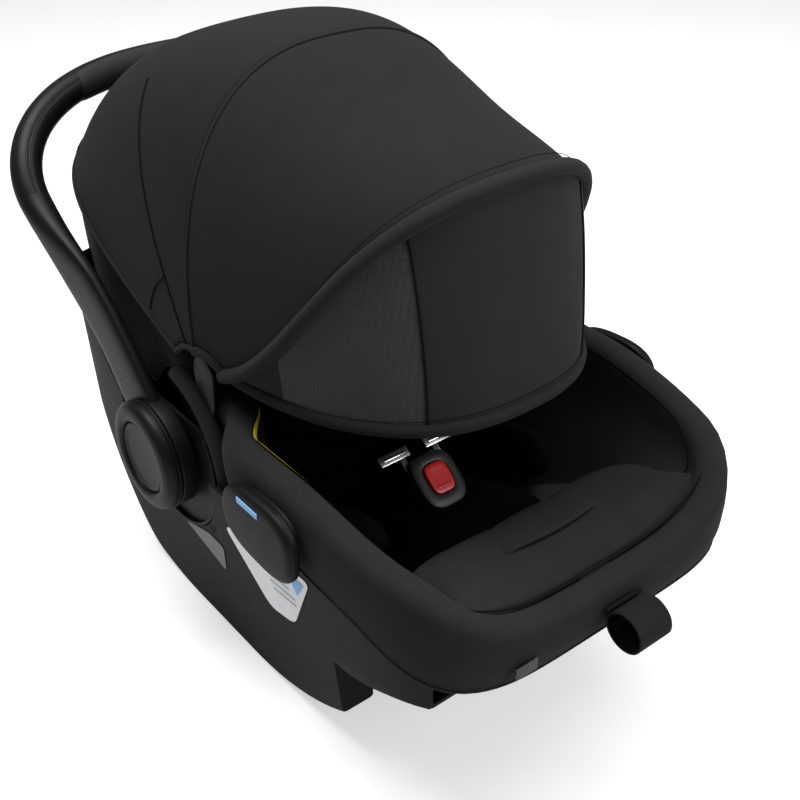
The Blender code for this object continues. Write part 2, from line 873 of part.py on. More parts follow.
def handle_frame():
    """Directions of the handle at rest: along its arms, and square to them, in the YZ plane."""
    rest = math.radians(HANDLE_REST_DEG)
    along = Vector((0.0, math.cos(rest), math.sin(rest)))
    across = Vector((0.0, -math.sin(rest), math.cos(rest)))
    return Vector((0.0, HUB_Y, HUB_Z)), along, across


def make_handle_arm(name, side, mats, parent):
    """Flat arm that narrows to a round tube, with a round eye at the hub."""
    hub, along, across = handle_frame()
    mid_x = (ARM_INNER_X + ARM_OUTER_X) / 2.0
    half_thick = (ARM_OUTER_X - ARM_INNER_X) / 2.0

    def shape(u, v):
        reach = 0.030 + (ARM_REACH - 0.030) * v
        slim = smooth(reach, 0.080, 0.240)
        half_a = 0.036 + (TUBE_RADIUS - 0.036) * slim
        half_b = half_thick + (TUBE_RADIUS - half_thick) * slim
        sway = 0.010 * math.sin(math.pi * min(1.0, reach / 0.30))
        x = mid_x + 0.009 * smooth(reach, 0.150, 0.300)
        a, b = oval(u, half_a, half_b, 0.72 + 0.28 * slim)
        return (
            hub + Vector((side * (x + b), 0.0, 0.0)) + along * reach + across * (a + sway)
        )

    bm = close_up(sheet(14, 11, shape))
    arm = add(name, bm, mats["handle"], hub, parent)
    eye = rod(
        hub + Vector((side * ARM_INNER_X, 0.0, 0.0)),
        hub + Vector((side * ARM_OUTER_X, 0.0, 0.0)),
        HUB_RADIUS - 0.0005,
        30,
    )
    tool = boolean(arm, eye, "UNION")
    tool.location = (0.0, 0.0, 0.0)
    pocket = rod(
        hub + Vector((side * (ARM_INNER_X - 0.005), 0.0, 0.0)),
        hub + Vector((side * (ARM_INNER_X + 0.011), 0.0, 0.0)),
        0.0335,
        20,
    )
    boolean(arm, pocket)
    bore = rod(
        hub + Vector((side * (ARM_INNER_X - 0.005), 0.0, 0.0)),
        hub + Vector((side * (ARM_OUTER_X + 0.005), 0.0, 0.0)),
        0.0086,
        12,
    )
    boolean(arm, bore)
    return arm


def bar_point(v):
    """Middle line of the crossbar, from the right arm over the crown to the left arm."""
    hub, along, across = handle_frame()
    turn = math.pi * v
    half = (ARM_INNER_X + ARM_OUTER_X) / 2.0 + 0.009
    c = math.cos(turn)
    s = math.sin(turn)
    x = -half * math.copysign(abs(c) ** 0.62, c)
    reach = ARM_REACH + GAP + (HANDLE_CROWN - ARM_REACH) * abs(s) ** 0.80
    return hub + Vector((x, 0.0, 0.0)) + along * reach


def make_crossbar(mats, parent):
    hub, along, across = handle_frame()

    def path(v):
        a = bar_point(max(0.0, v - 0.004))
        b = bar_point(min(1.0, v + 0.004))
        forward = (b - a).normalized()
        if v < 0.001 or v > 0.999:
            forward = along if v < 0.5 else -along
        return bar_point(v), forward.cross(across).normalized(), across

    def section(v):
        return [oval(i / 12.0, TUBE_RADIUS, TUBE_RADIUS) for i in range(12)]

    add("handle_crossbar", swept(section, path, 26), mats["handle"], hub, parent)

    def grip_shape(u, v):
        v = 0.5 + (v - 0.5) * 0.28
        place, outward, rise = path(v)
        inner = TUBE_RADIUS + 0.0014
        outer = TUBE_RADIUS + 0.0034
        ends = 0.62 * math.pi
        steps = 7
        index = round(u * 16) % 16
        if index <= steps:
            angle = -ends + 2.0 * ends * index / steps
            radius = outer
        else:
            angle = ends - 2.0 * ends * (index - steps - 1) / steps
            radius = inner
        inward = -along
        return place + inward * (radius * math.cos(angle)) + rise * (radius * math.sin(angle))

    add("handle_grip", close_up(sheet(16, 8, grip_shape)), mats["rubber"], hub, parent)


def make_hub_cap(name, side, mats, parent):
    hub = (HUB_Y, HUB_Z)
    base = ARM_OUTER_X + GAP
    profile = (
        (side * base, BUTTON_RADIUS + 0.0008),
        (side * base, HUB_RADIUS),
        (side * (base + 0.009), HUB_RADIUS),
        (side * (CAP_OUTER_X - 0.0025), HUB_RADIUS - 0.003),
        (side * CAP_OUTER_X, HUB_RADIUS - 0.009),
        (side * CAP_OUTER_X, BUTTON_RADIUS + 0.004),
        (side * (CAP_OUTER_X - 0.002), BUTTON_RADIUS + 0.0008),
    )
    add(name, revolved(profile, hub, 30), mats["handle"], (0.0, *hub), parent)


def make_handle_button(name, side, mats, parent):
    base = ARM_OUTER_X + 0.0066
    face = CAP_OUTER_X - 0.0030
    profile = (
        (side * base, 0.0),
        (side * base, BUTTON_RADIUS),
        (side * (face - 0.0010), BUTTON_RADIUS),
        (side * face, BUTTON_RADIUS - 0.0012),
        (side * (face - 0.0012), 0.022),
        (side * (face - 0.0016), 0.0),
    )

    def shape(u, v):
        x, radius = profile[round(v * (len(profile) - 1))]
        turn = 2.0 * math.pi * u
        return Vector((x, HUB_Y + radius * math.cos(turn), HUB_Z + radius * math.sin(turn)))

    bm = close_up(sheet(28, len(profile) - 1, shape))
    add(name, bm, mats["plastic"], (side * base, HUB_Y, HUB_Z), parent)


def make_button_spring(name, side, mats, parent):
    """Coil that pushes the button back out."""
    start = ARM_OUTER_X + 0.0012
    end = ARM_OUTER_X + 0.0054
    turns = 3.0
    wire = 0.0006

    def shape(u, v):
        turn = 2.0 * math.pi * turns * v
        ring = 2.0 * math.pi * u
        radius = 0.014 + wire * math.cos(ring)
        x = start + (end - start) * v + wire * math.sin(ring)
        return Vector((side * x, HUB_Y + radius * math.cos(turn), HUB_Z + radius * math.sin(turn)))

    add(name, close_up(sheet(4, 30, shape)), mats["steel"], (0.0, HUB_Y, HUB_Z), parent)


# ---------------------------------------------------------------- canopy


def hoop_point(degrees, reach, half, v):
    """A point of a canopy hoop that stands at an angle above the forward direction."""
    turn = math.pi * v
    c = math.cos(turn)
    s = math.sin(turn)
    x = -half * math.copysign(abs(c) ** 0.82, c)
    r = reach * abs(s) ** 0.66
    angle = math.radians(degrees)
    return Vector((x, CANOPY_Y - r * math.cos(angle), CANOPY_Z + r * math.sin(angle)))


def make_bow(name, degrees, reach, half, mats):
    """Wire hoop that holds the fabric up, ending in flat eyes on the pivots."""
    pivot = Vector((0.0, CANOPY_Y, CANOPY_Z))
    square = Vector((0.0, math.sin(math.radians(degrees)), math.cos(math.radians(degrees))))

    def path(v):
        v = 0.0016 + 0.9968 * v
        a = hoop_point(degrees, reach, half, v - 0.0010)
        b = hoop_point(degrees, reach, half, v + 0.0010)
        forward = (b - a).normalized()
        return hoop_point(degrees, reach, half, v), forward.cross(square).normalized(), square

    def section(v):
        return [oval(i / 6.0, BOW_RADIUS, BOW_RADIUS) for i in range(6)]

    bow = add(name, swept(section, path, 20), mats["plastic"], pivot)
    for side in (-1, 1):
        low = half - BOW_RADIUS * 0.6
        high = half + BOW_RADIUS * 0.6
        eye = rod(
            (side * low, CANOPY_Y, CANOPY_Z), (side * high, CANOPY_Y, CANOPY_Z), 0.0125, 12
        )
        tool = boolean(bow, eye, "UNION")
        tool.location = (0.0, 0.0, 0.0)
    hole = rod((-0.2, CANOPY_Y, CANOPY_Z), (0.2, CANOPY_Y, CANOPY_Z), 0.0034, 10)
    boolean(bow, hole)
    return bow


def make_panel(name, first, second, dip, mats):
    """Fabric between two hoops, each given as (degrees, reach, half width)."""
    pivot = Vector((0.0, CANOPY_Y, CANOPY_Z))

    def shape(u, v):
        degrees = first[0] + (second[0] - first[0]) * v
        sag = 1.0 - dip * math.sin(math.pi * v)
        reach = (first[1] + (second[1] - first[1]) * v) * sag
        half = first[2] + (second[2] - first[2]) * v
        return hoop_point(degrees, reach, half, 0.030 + 0.940 * u)

    bm = face_out(sheet(20, 4, shape), pivot)
    thicken(add(name, bm, mats["canopy"], pivot), CLOTH)


def make_canopy(mats):
    make_bow("canopy_rear_bow", REAR_BOW_DEG, REAR_BOW_REACH, 0.1700, mats)
    make_bow("canopy_front_bow", FRONT_BOW_DEG, FRONT_BOW_REACH, 0.1645, mats)
    make_bow("visor_bow", VISOR_BOW_DEG, VISOR_BOW_REACH, 0.1590, mats)
    lift = 0.005
    rear = (REAR_BOW_DEG, REAR_BOW_REACH + lift, 0.1755)
    edge = (REAR_EDGE_DEG, REAR_EDGE_REACH, 0.1720)
    front = (FRONT_BOW_DEG, FRONT_BOW_REACH + lift, 0.1755)
    visor = (VISOR_BOW_DEG, VISOR_BOW_REACH + lift, 0.1755)
    split = 0.35
    make_panel(
        "canopy_rear_panel", edge, (rear[0] + split, rear[1], rear[2]), -0.004, mats
    )
    make_panel(
        "canopy_front_panel",
        (rear[0] - split, rear[1], rear[2]),
        (front[0] + split, front[1], front[2]),
        0.025,
        mats,
    )
    make_panel(
        "visor_panel", (front[0] - split, front[1], front[2]), visor, 0.03, mats
    )
    for name, side in SIDES:
        make_canopy_mount("canopy_mount_" + name, side, mats)


def make_canopy_mount(name, side, mats):
    """Bracket on the shell with the pin that the canopy's hoops turn on."""
    low = min(side * 0.1745, side * 0.1780)
    high = max(side * 0.1745, side * 0.1780)
    stem = box((low, CANOPY_Y - 0.016, 0.292), (high, CANOPY_Y + 0.016, CANOPY_Z))
    obj = add(name, stem, mats["plastic"])
    head = rod(
        (low - 0.0003, CANOPY_Y, CANOPY_Z), (high + 0.0003, CANOPY_Y, CANOPY_Z), 0.0175, 20
    )
    boolean(obj, head, "UNION")
    pin = rod(
        (side * 0.150, CANOPY_Y, CANOPY_Z), (side * 0.176, CANOPY_Y, CANOPY_Z), 0.0030, 10
    )
    boolean(obj, pin, "UNION")
    return obj


# ---------------------------------------------------------------- rear release


def make_release(mats):
    """Pull lever at the back, with the hook that it draws off a base's bar."""
    lever = box((-0.045, 0.262, 0.246), (0.045, 0.268, 0.284))
    soften(lever, 0.002, 1)
    add("release_lever", lever, mats["plastic"], (0.0, 0.265, 0.283))
    hook = box((-0.012, 0.118, 0.040), (0.012, 0.124, 0.088))
    soften(hook, 0.001, 1)
    add("latch_hook", hook, mats["steel"], (0.0, 0.121, 0.087))


def make_materials():
    return {
        "shell": material("shell_plastic", (0.022, 0.022, 0.023), 0.55),
        "hub": material("hub_plastic", (0.018, 0.018, 0.019), 0.50),
        "handle": material("handle_plastic", (0.020, 0.020, 0.021), 0.38),
        "plastic": material("trim_plastic", (0.012, 0.012, 0.013), 0.45),
        "guide": material("guide_plastic", (0.022, 0.022, 0.023), 0.45),
        "rubber": material("grip_rubber", (0.015, 0.015, 0.015), 0.70),
        "foam": material("energy_foam", (0.080, 0.080, 0.085), 0.90),
        "fabric": material("seat_fabric", (0.020, 0.020, 0.021), 0.92),
        "insert": material("insert_fabric", (0.010, 0.010, 0.011), 0.95),
        "canopy": material("canopy_fabric", (0.024, 0.024, 0.025), 0.90),
        "webbing": material("harness_webbing", (0.016, 0.016, 0.017), 0.80),
        "steel": material("zinc_steel", (0.450, 0.450, 0.460), 0.35, 1.0),
        "chrome": material("tongue_steel", (0.600, 0.600, 0.610), 0.22, 1.0),
        "red": material("button_red", (0.560, 0.012, 0.012), 0.35),
        "blue": material("guide_blue", (0.250, 0.480, 0.720), 0.50),
    }


def main():
    clear_scene()
    mats = make_materials()
    make_bucket(mats)
    make_foam(mats)
    make_belly(mats)
    make_latch_bars(mats)
    make_rim_roll(mats)
    make_seat(mats)
    make_headrest(mats)
    make_harness(mats)
    make_buckle(mats)
    make_adjuster(mats)
    handle = empty("handle_axis", (0.0, HUB_Y, HUB_Z))
    for name, side in SIDES:
        make_side_panel("side_panel_" + name, side, mats)
        make_hub_recess("hub_recess_" + name, side, mats)
        make_lock_gear("lock_gear_" + name, side, mats)
        make_belt_guide("belt_guide_" + name, side, mats)
        make_guide_strip("guide_strip_" + name, side, mats)
        make_side_pad("side_pad_" + name, side, mats)
        make_handle_arm("handle_arm_" + name, side, mats, handle)
        make_hub_cap("hub_cap_" + name, side, mats, handle)
        make_handle_button("handle_button_" + name, side, mats, handle)
        make_button_spring("button_spring_" + name, side, mats, handle)
    make_crossbar(mats, handle)
    make_canopy(mats)
    make_release(mats)


main()
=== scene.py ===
"""Looks of the infant car seat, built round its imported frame.

Metres, +Z up. The foot end points along -Y, the child's right side is at -X.
"""

import functools
import json
import math

import bmesh
import bpy
from mathutils import Matrix, Vector
from mathutils.bvhtree import BVHTree


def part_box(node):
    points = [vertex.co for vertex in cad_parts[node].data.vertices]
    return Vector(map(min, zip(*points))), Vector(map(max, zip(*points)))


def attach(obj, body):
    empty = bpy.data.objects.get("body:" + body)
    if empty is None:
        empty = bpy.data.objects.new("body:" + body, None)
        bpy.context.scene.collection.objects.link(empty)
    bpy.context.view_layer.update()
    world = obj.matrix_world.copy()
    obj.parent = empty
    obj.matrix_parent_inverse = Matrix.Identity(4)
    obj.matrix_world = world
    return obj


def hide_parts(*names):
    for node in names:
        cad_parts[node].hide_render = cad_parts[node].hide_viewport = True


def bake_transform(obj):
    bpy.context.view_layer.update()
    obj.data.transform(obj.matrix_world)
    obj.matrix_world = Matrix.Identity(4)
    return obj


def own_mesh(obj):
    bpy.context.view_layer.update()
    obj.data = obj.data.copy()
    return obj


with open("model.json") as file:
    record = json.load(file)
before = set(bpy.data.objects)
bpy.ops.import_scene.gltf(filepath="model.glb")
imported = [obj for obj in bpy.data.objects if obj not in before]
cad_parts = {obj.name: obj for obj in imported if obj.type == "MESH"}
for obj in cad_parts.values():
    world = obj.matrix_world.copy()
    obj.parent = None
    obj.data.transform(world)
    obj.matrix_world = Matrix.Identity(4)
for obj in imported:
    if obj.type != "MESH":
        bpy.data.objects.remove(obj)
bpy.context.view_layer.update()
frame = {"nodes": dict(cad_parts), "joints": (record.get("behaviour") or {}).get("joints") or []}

SIDES = (("right", -1), ("left", 1))
TAU = 2.0 * math.pi

# Places read from the frame
CAP_LOW, CAP_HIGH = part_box("hub_cap_left")
HUB = Vector((0.0, (CAP_LOW.y + CAP_HIGH.y) / 2.0, (CAP_LOW.z + CAP_HIGH.z) / 2.0))
CAP_BASE_X = CAP_LOW.x
CAP_FACE_X = CAP_HIGH.x
HUB_RADIUS = (CAP_HIGH.z - CAP_LOW.z) / 2.0
PIVOT = Vector(next(j["pos_m"] for j in frame["joints"] if j["name"] == "canopy_rear_fold"))

# Shell plan and profile, as in the part
SHELL_FRONT_Y = -0.347
SHELL_BACK_Y = 0.352
SHELL_MIDDLE_Y = (SHELL_FRONT_Y + SHELL_BACK_Y) / 2.0
SHELL_HALF_LENGTH = (SHELL_BACK_Y - SHELL_FRONT_Y) / 2.0
HALF_WIDTH = 0.188
HEAD_HALF_WIDTH = 0.158
HUB_HALF_WIDTH = 0.152
FOOT_CORNER_POWER = 6.0
HEAD_CORNER_POWER = 3.6
FOOT_RIM_Z = 0.272
MID_RIM_Z = 0.296
HEAD_RIM_Z = 0.440
FLOOR_LOW_Y = 0.020
FLOOR_LOW_Z = 0.072
FLOOR_FOOT_RISE = 0.143
FLOOR_HEAD_RISE = 0.318
WALL = 0.004
RIM_DIP = 0.050
RIM_DIP_HALF_WIDTH = 0.182

# Foam inside the bucket
FOAM_TOP = 2.0 / 7.0
FOAM_GAP = 0.0016
FOAM_THICKNESS = 0.009

# Side panels and runners
RUNNER_FLAT_HALF = 0.055
RUNNER_MID_Y = 0.030
RUNNER_CURVE = 2.0
RUNNER_FRONT_Y = -0.200
RUNNER_OUTER_X = 0.166
RUNNER_INNER_X = 0.138
PANEL_FRONT_Y = -0.318
PANEL_BACK_Y = 0.300
PANEL_FRONT_Z = 0.132
PANEL_LIFT_Y = 0.170

# Pocket and collar round each hub
RECESS_RADIUS = 0.086
RECESS_FLOOR_X = 0.1795
RECESS_EDGE_X = 0.1888
RECESS_WALL = 0.0032
COLLAR_REACH = 0.0935
COLLAR_RADIUS = 0.0085

# Belt guides
GUIDE_Y = -0.150
GUIDE_Z = 0.272
GUIDE_HALF_LENGTH = 0.054
GUIDE_HALF_HEIGHT = 0.0350
GUIDE_CORNER_POWER = 0.74

# Padded rim: its size, and where the roll starts, crests and ends along the cover
ROLL_OUT = 0.0185
ROLL_IN = 0.0145
ROLL_TALL = 0.020
ROLL_START = 0.20
ROLL_CREST = 0.35
ROLL_END = 0.50

# Seat pad
SEAT_FRONT_Y = -0.3370
SEAT_BACK_Y = -0.226
SEAT_HALF = 0.158

# Inflating the padded pieces
PUFF_PRESSURE = 4.0
PUFF_FRAMES = 14

# Handle
ARM_INNER_X = 0.1895
ARM_OUTER_X = 0.2065
ARM_MIDDLE_X = (ARM_INNER_X + ARM_OUTER_X) / 2.0
BAR_OUTSET = 0.009
HANDLE_REST_DEG = 45.0
HANDLE_CROWN = 0.409
ARM_REACH = 0.285
TUBE_RADIUS = 0.0160
BUTTON_RADIUS = 0.037

# Canopy hoops: degrees above the forward direction, reach, half width, droop at
# the ends, and the power of the rounded outline: 2 is an ellipse, more is squarer
REAR_EDGE = (160.0, 0.354, 0.1850, 0.0, 4.0)
REAR_HOOP = (95.0, 0.2740, 0.1830, 0.0, 2.60)
FRONT_HOOP = (45.0, 0.3000, 0.1690, 34.0, 2.40)
VISOR_HOOP = (4.0, 0.2400, 0.1610, 0.0, 2.50)

VISOR_SEAM = 0.3125
VISOR_DIP = 0.055
TOP_DIP = 0.120
REAR_DIP = 0.002

# Harness and adjuster
WEB_WIDTH = 0.038
BUCKLE = Vector((0.0, -0.122, 0.207))
BUCKLE_TILT_DEG = 38.0
PULL_DEG = 24.0
PULL_ROOT = Vector((0.0, -0.3690, 0.2215))
PULL_REACH = 0.0205

# Camera
CAMERA_AZIMUTH_DEG = -38.60
CAMERA_HEIGHT_DEG = 33.0
CAMERA_DISTANCE = 1.1481
CAMERA_LENS = 52.18
CAMERA_TARGET = Vector((0.0, -0.067, 0.2735))


# ---------------------------------------------------------------- shader expressions


class Val:
    """A shader socket, or a number, that can be written into an expression."""

    def __init__(self, tree, socket):
        self.tree = tree
        self.socket = socket

    def _math(self, operation, *parts):
        node = self.tree.nodes.new("ShaderNodeMath")
        node.operation = operation
        for slot, part in zip(node.inputs, parts):
            if isinstance(part, Val):
                self.tree.links.new(part.socket, slot)
            else:
                slot.default_value = float(part)
        return Val(self.tree, node.outputs[0])

    def __add__(self, other):
        return self._math("ADD", self, other)

    def __radd__(self, other):
        return self._math("ADD", other, self)

    def __sub__(self, other):
        return self._math("SUBTRACT", self, other)

    def __rsub__(self, other):
        return self._math("SUBTRACT", other, self)

    def __mul__(self, other):
        return self._math("MULTIPLY", self, other)

    def __rmul__(self, other):
        return self._math("MULTIPLY", other, self)

    def __truediv__(self, other):
        return self._math("DIVIDE", self, other)

    def __pow__(self, other):
        return self._math("POWER", self, other)

    def __abs__(self):
        return self._math("ABSOLUTE", self)

    def sin(self):
        return self._math("SINE", self)

    def most(self, other):
        return self._math("MAXIMUM", self, other)

    def least(self, other):
        return self._math("MINIMUM", self, other)


class Maker:
    """One material's node tree, with a method that makes any node."""

    def __init__(self, name):
        self.material = bpy.data.materials.new(name)
        self.material.use_nodes = True
        self.tree = self.material.node_tree
        self.shader = self.tree.nodes["Principled BSDF"]

    def node(self, kind, settings=None, inputs=None, output=0):
        """Makes a node, sets it up, fills its sockets and returns one output."""
        made = self.tree.nodes.new(kind)
        for key, value in (settings or {}).items():
            setattr(made, key, value)
        for key, value in (inputs or {}).items():
            self.put(made.inputs[key], value)
        return Val(self.tree, made.outputs[output])

    def put(self, socket, value):
        if isinstance(value, Val):
            self.tree.links.new(value.socket, socket)
        else:
            socket.default_value = value

    def set(self, **values):
        """Sets or links the shader's own sockets."""
        for key, value in values.items():
            self.put(self.shader.inputs[key.replace("_", " ")], value)

    def place(self):
        return self.node("ShaderNodeTexCoord", output="Object")

    def parts(self, vector):
        node = self.tree.nodes.new("ShaderNodeSeparateXYZ")
        self.tree.links.new(vector.socket, node.inputs[0])
        return [Val(self.tree, output) for output in node.outputs]

    def noise(self, vector, scale, detail=2.0, roughness=0.5):
        inputs = {"Vector": vector, "Scale": scale, "Detail": detail, "Roughness": roughness}
        return self.node("ShaderNodeTexNoise", inputs=inputs)

    def mix(self, factor, first, second):
        node = self.tree.nodes.new("ShaderNodeMix")
        node.data_type = "RGBA"
        self.put(node.inputs["Factor"], factor)
        for key, value in (("A", first), ("B", second)):
            slot = next(s for s in node.inputs if s.name == key and s.type == "RGBA")
            self.put(slot, value)
        return Val(self.tree, next(s for s in node.outputs if s.type == "RGBA"))

    def bump(self, height, strength, distance):
        inputs = {"Strength": strength, "Distance": distance, "Height": height}
        self.set(Normal=self.node("ShaderNodeBump", inputs=inputs))


def shade(colour, factor):
    return (colour[0] * factor, colour[1] * factor, colour[2] * factor, 1.0)


def facing_weights(mk):
    """How far the surface faces X, Y and Z: three values that add up to one."""
    normal = mk.node("ShaderNodeTexCoord", output="Normal")
    x, y, z = [abs(part) ** 4.0 for part in mk.parts(normal)]
    total = x + y + z
    return x / total, y / total, z / total


def weave_height(mk, pitch):
    """Plain weave on Object coordinates, laid flat on whichever way the surface faces."""
    x, y, z = [part * (TAU / pitch) for part in mk.parts(mk.place())]
    sx, sy, sz = x.sin(), y.sin(), z.sin()
    wx, wy, wz = facing_weights(mk)
    return wx * (sy * sz) + wy * (sx * sz) + wz * (sx * sy)


def fabric(name, colour, pitch, rough=0.92, sheen=0.10, specular=0.12, strength=0.35):
    """Woven or knitted cloth: threads, slubs and a soft mottle."""
    mk = Maker(name)
    weave = weave_height(mk, pitch)
    mottle = mk.noise(mk.place(), 38.0, 4.0)
    slub = mk.noise(mk.place(), 900.0, 2.0)
    light = (weave * 0.18 + mottle * 0.55 + slub * 0.30).most(0.0).least(1.0)
    mk.set(Base_Color=mk.mix(light, shade(colour, 0.72), shade(colour, 1.30)))
    mk.set(Roughness=mottle * 0.06 + (rough - 0.03))
    mk.set(Specular_IOR_Level=specular)
    mk.set(Sheen_Weight=sheen)
    mk.set(Sheen_Roughness=0.45)
    mk.set(Sheen_Tint=shade((0.55, 0.56, 0.60), 1.0))
    mk.bump(weave * 0.5 + slub * 0.8 + mottle * 2.0, strength, 0.0006)
    return mk.material


def moulded(name, colour, rough, specular=0.35, grain=1600.0, wear=0.35):
    """Moulded plastic: fine spark grain, faint flow marks and rubbed patches."""
    mk = Maker(name)
    fine = mk.noise(mk.place(), grain, 3.0)
    patch = mk.noise(mk.place(), 14.0, 5.0, 0.6)
    rub = mk.noise(mk.place(), 95.0, 4.0)
    worn = ((patch - 0.5) * 2.4).most(0.0).least(1.0) * wear
    mk.set(Base_Color=mk.mix(worn * 0.7 + fine * 0.2, shade(colour, 0.86), shade(colour, 1.45)))
    mk.set(Roughness=rough + (rub - 0.5) * 0.10 + worn * 0.06)
    mk.set(Specular_IOR_Level=specular)
    mk.bump(fine + patch * 1.5, 0.16, 0.0004)
    return mk.material


def ribbed_webbing(name, colour):
    """Harness webbing: ribs along the strap on its own UV map, with a herringbone cross thread."""
    mk = Maker(name)
    across, along, _ = mk.parts(mk.node("ShaderNodeTexCoord", output="UV"))
    rib = (along * (TAU * 520.0)).sin()
    cross = (across * (TAU * 700.0) + along * 900.0).sin()
    fuzz = mk.noise(mk.place(), 700.0, 2.0)
    light = (rib * 0.30 + cross * 0.10 + fuzz * 0.5 + 0.25).most(0.0).least(1.0)
    mk.set(Base_Color=mk.mix(light, shade(colour, 0.55), shade(colour, 1.9)))
    mk.set(Roughness=0.70 + fuzz * 0.1)
    mk.set(Specular_IOR_Level=0.08)
    mk.bump(rib * 1.0 + cross * 0.4 + fuzz * 0.5, 0.7, 0.0008)
    return mk.material


def window_mesh(name, colour):
    """Knitted ventilation mesh with small round holes that let light through."""
    mk = Maker(name)
    pitch = 0.0022
    x, y, z = [part * (TAU / pitch) for part in mk.parts(mk.place())]
    holes = x.sin() * z.sin() + (y * 0.5).sin() * 0.3
    mottle = mk.noise(mk.place(), 60.0, 3.0)
    mk.set(Base_Color=mk.mix(mottle, shade(colour, 0.8), shade(colour, 1.3)))
    mk.set(Alpha=0.95 - holes.most(0.0) * 0.22)
    mk.set(Roughness=0.80 + mottle * 0.1)
    mk.set(Specular_IOR_Level=0.2)
    mk.set(Sheen_Weight=0.25)
    mk.bump(holes, 0.4, 0.0005)
    return mk.material


def metal(name, colour, rough, scratch=180.0):
    """Plated steel, with streaks, a faint stain and fine drawing lines."""
    mk = Maker(name)
    height = mk.parts(mk.place())[2]
    streak = mk.noise(mk.place(), scratch, 5.0, 0.65)
    stain = mk.noise(mk.place(), 30.0, 3.0)
    mk.set(Base_Color=mk.mix(stain, shade(colour, 0.75), shade(colour, 1.1)))
    mk.set(Metallic=1.0)
    mk.set(Roughness=rough + streak * 0.14)
    mk.bump(streak + (height * 2400.0).sin() * 0.1, 0.12, 0.0003)
    return mk.material


def bead_foam(name, colour):
    mk = Maker(name)
    cells = mk.node("ShaderNodeTexVoronoi", inputs={"Vector": mk.place(), "Scale": 260.0})
    mk.set(Base_Color=mk.mix(cells, shade(colour, 1.15), shade(colour, 0.7)))
    mk.set(Roughness=0.9 - cells * 0.05)
    mk.bump(cells, 0.5, 0.001)
    return mk.material


def gloss_red(name):
    mk = Maker(name)
    dust = mk.noise(mk.place(), 240.0, 4.0)
    mk.set(Base_Color=mk.mix(dust, (0.46, 0.003, 0.006, 1.0), (0.60, 0.007, 0.011, 1.0)))
    mk.set(Roughness=0.30 + dust * 0.10)
    mk.bump(dust, 0.08, 0.0003)
    return mk.material


def printed(name, colour, rough=0.45):
    """Smooth printed film, a little uneven where it lies on the shell."""
    mk = Maker(name)
    ripple = mk.noise(mk.place(), 70.0, 3.0)
    mk.set(Base_Color=mk.mix(ripple, shade(colour, 0.90), shade(colour, 1.04)))
    mk.set(Roughness=rough + ripple * 0.1)
    mk.set(Specular_IOR_Level=0.3)
    mk.bump(ripple, 0.10, 0.0005)
    return mk.material


def make_materials():
    charcoal = (0.0125, 0.0125, 0.0127)
    return {
        "canopy": fabric("canopy_cloth", charcoal, 0.0011, sheen=0.03, strength=0.25),
        # The visor is the canopy's own cloth painted lighter: painted light, so it looks as lit as
        # the canopy top.
        "visor": fabric("visor_painted_light_cloth", (0.0205, 0.0205, 0.0208), 0.0011, sheen=0.03, strength=0.25),
        "seat": fabric("seat_cloth", (0.0150, 0.0150, 0.0153), 0.0012, sheen=0.03),
        "insert": fabric("insert_knit", (0.0026, 0.0026, 0.0028), 0.0018, sheen=0.0, specular=0.06),
        "binding": fabric("edge_binding", (0.0155, 0.0155, 0.0158), 0.0009, sheen=0.04),
        "thread": fabric("sewing_thread", (0.0035, 0.0035, 0.0038), 0.0007, sheen=0.0),
        "window": window_mesh("window_mesh", (0.030, 0.030, 0.031)),
        "webbing": ribbed_webbing("loop_webbing", (0.012, 0.012, 0.0125)),
        "strap": ribbed_webbing("harness_webbing", (0.0014, 0.0014, 0.0015)),
        "shell": moulded("shell_plastic", (0.0055, 0.0055, 0.0057), 0.60, 0.12),
        "hub": moulded("hub_plastic", (0.0060, 0.0060, 0.0062), 0.52, 0.14),
        "handle": moulded("handle_plastic", (0.0050, 0.0050, 0.0052), 0.42, 0.15),
        "trim": moulded("trim_plastic", (0.0055, 0.0055, 0.0057), 0.44, 0.18),
        "guide": moulded("guide_plastic", (0.0048, 0.0048, 0.0050), 0.48, 0.12),
        "grip": moulded("grip_rubber", (0.0130, 0.0130, 0.0135), 0.72, 0.25, 900.0, 0.6),
        "buckle": moulded("buckle_plastic", (0.0120, 0.0120, 0.0124), 0.42, 0.35),
        "foam": bead_foam("energy_foam", (0.030, 0.030, 0.032)),
        "steel": metal("zinc_steel", (0.42, 0.42, 0.43), 0.30),
        "chrome": metal("tongue_steel", (0.62, 0.62, 0.64), 0.16),
        "red": gloss_red("button_red"),
        "blue": printed("guide_blue", (0.20, 0.46, 0.78)),
        "white": printed("label_white", (0.80, 0.81, 0.82)),
        "grey": printed("label_grey", (0.16, 0.165, 0.17)),
        "pale": printed("label_print", (0.42, 0.45, 0.48)),
        "yellow": printed("label_yellow", (0.62, 0.52, 0.03)),
        "tag": printed("tag_grey", (0.055, 0.055, 0.058), 0.7),
    }


# ---------------------------------------------------------------- mesh helpers


def smooth(value, low, high):
    """0 below low, 1 above high, eased between them."""
    t = min(1.0, max(0.0, (value - low) / (high - low)))
    return t * t * (3.0 - 2.0 * t)


def sheet(columns, rows, shape):
    """A grid whose points are placed by shape(u, v), with a UV map of u and v."""
    bm = bmesh.new()
    bmesh.ops.create_grid(bm, x_segments=columns, y_segments=rows, size=1.0)
    layer = bm.loops.layers.uv.new("UVMap")
    for face in bm.faces:
        for loop in face.loops:
            flat = loop.vert.co
            loop[layer].uv = ((flat.x + 1.0) / 2.0, (flat.y + 1.0) / 2.0)
    for vert in bm.verts:
        vert.co = shape((vert.co.x + 1.0) / 2.0, (vert.co.y + 1.0) / 2.0)
    bmesh.ops.remove_doubles(bm, verts=bm.verts, dist=1e-6)
    return bm


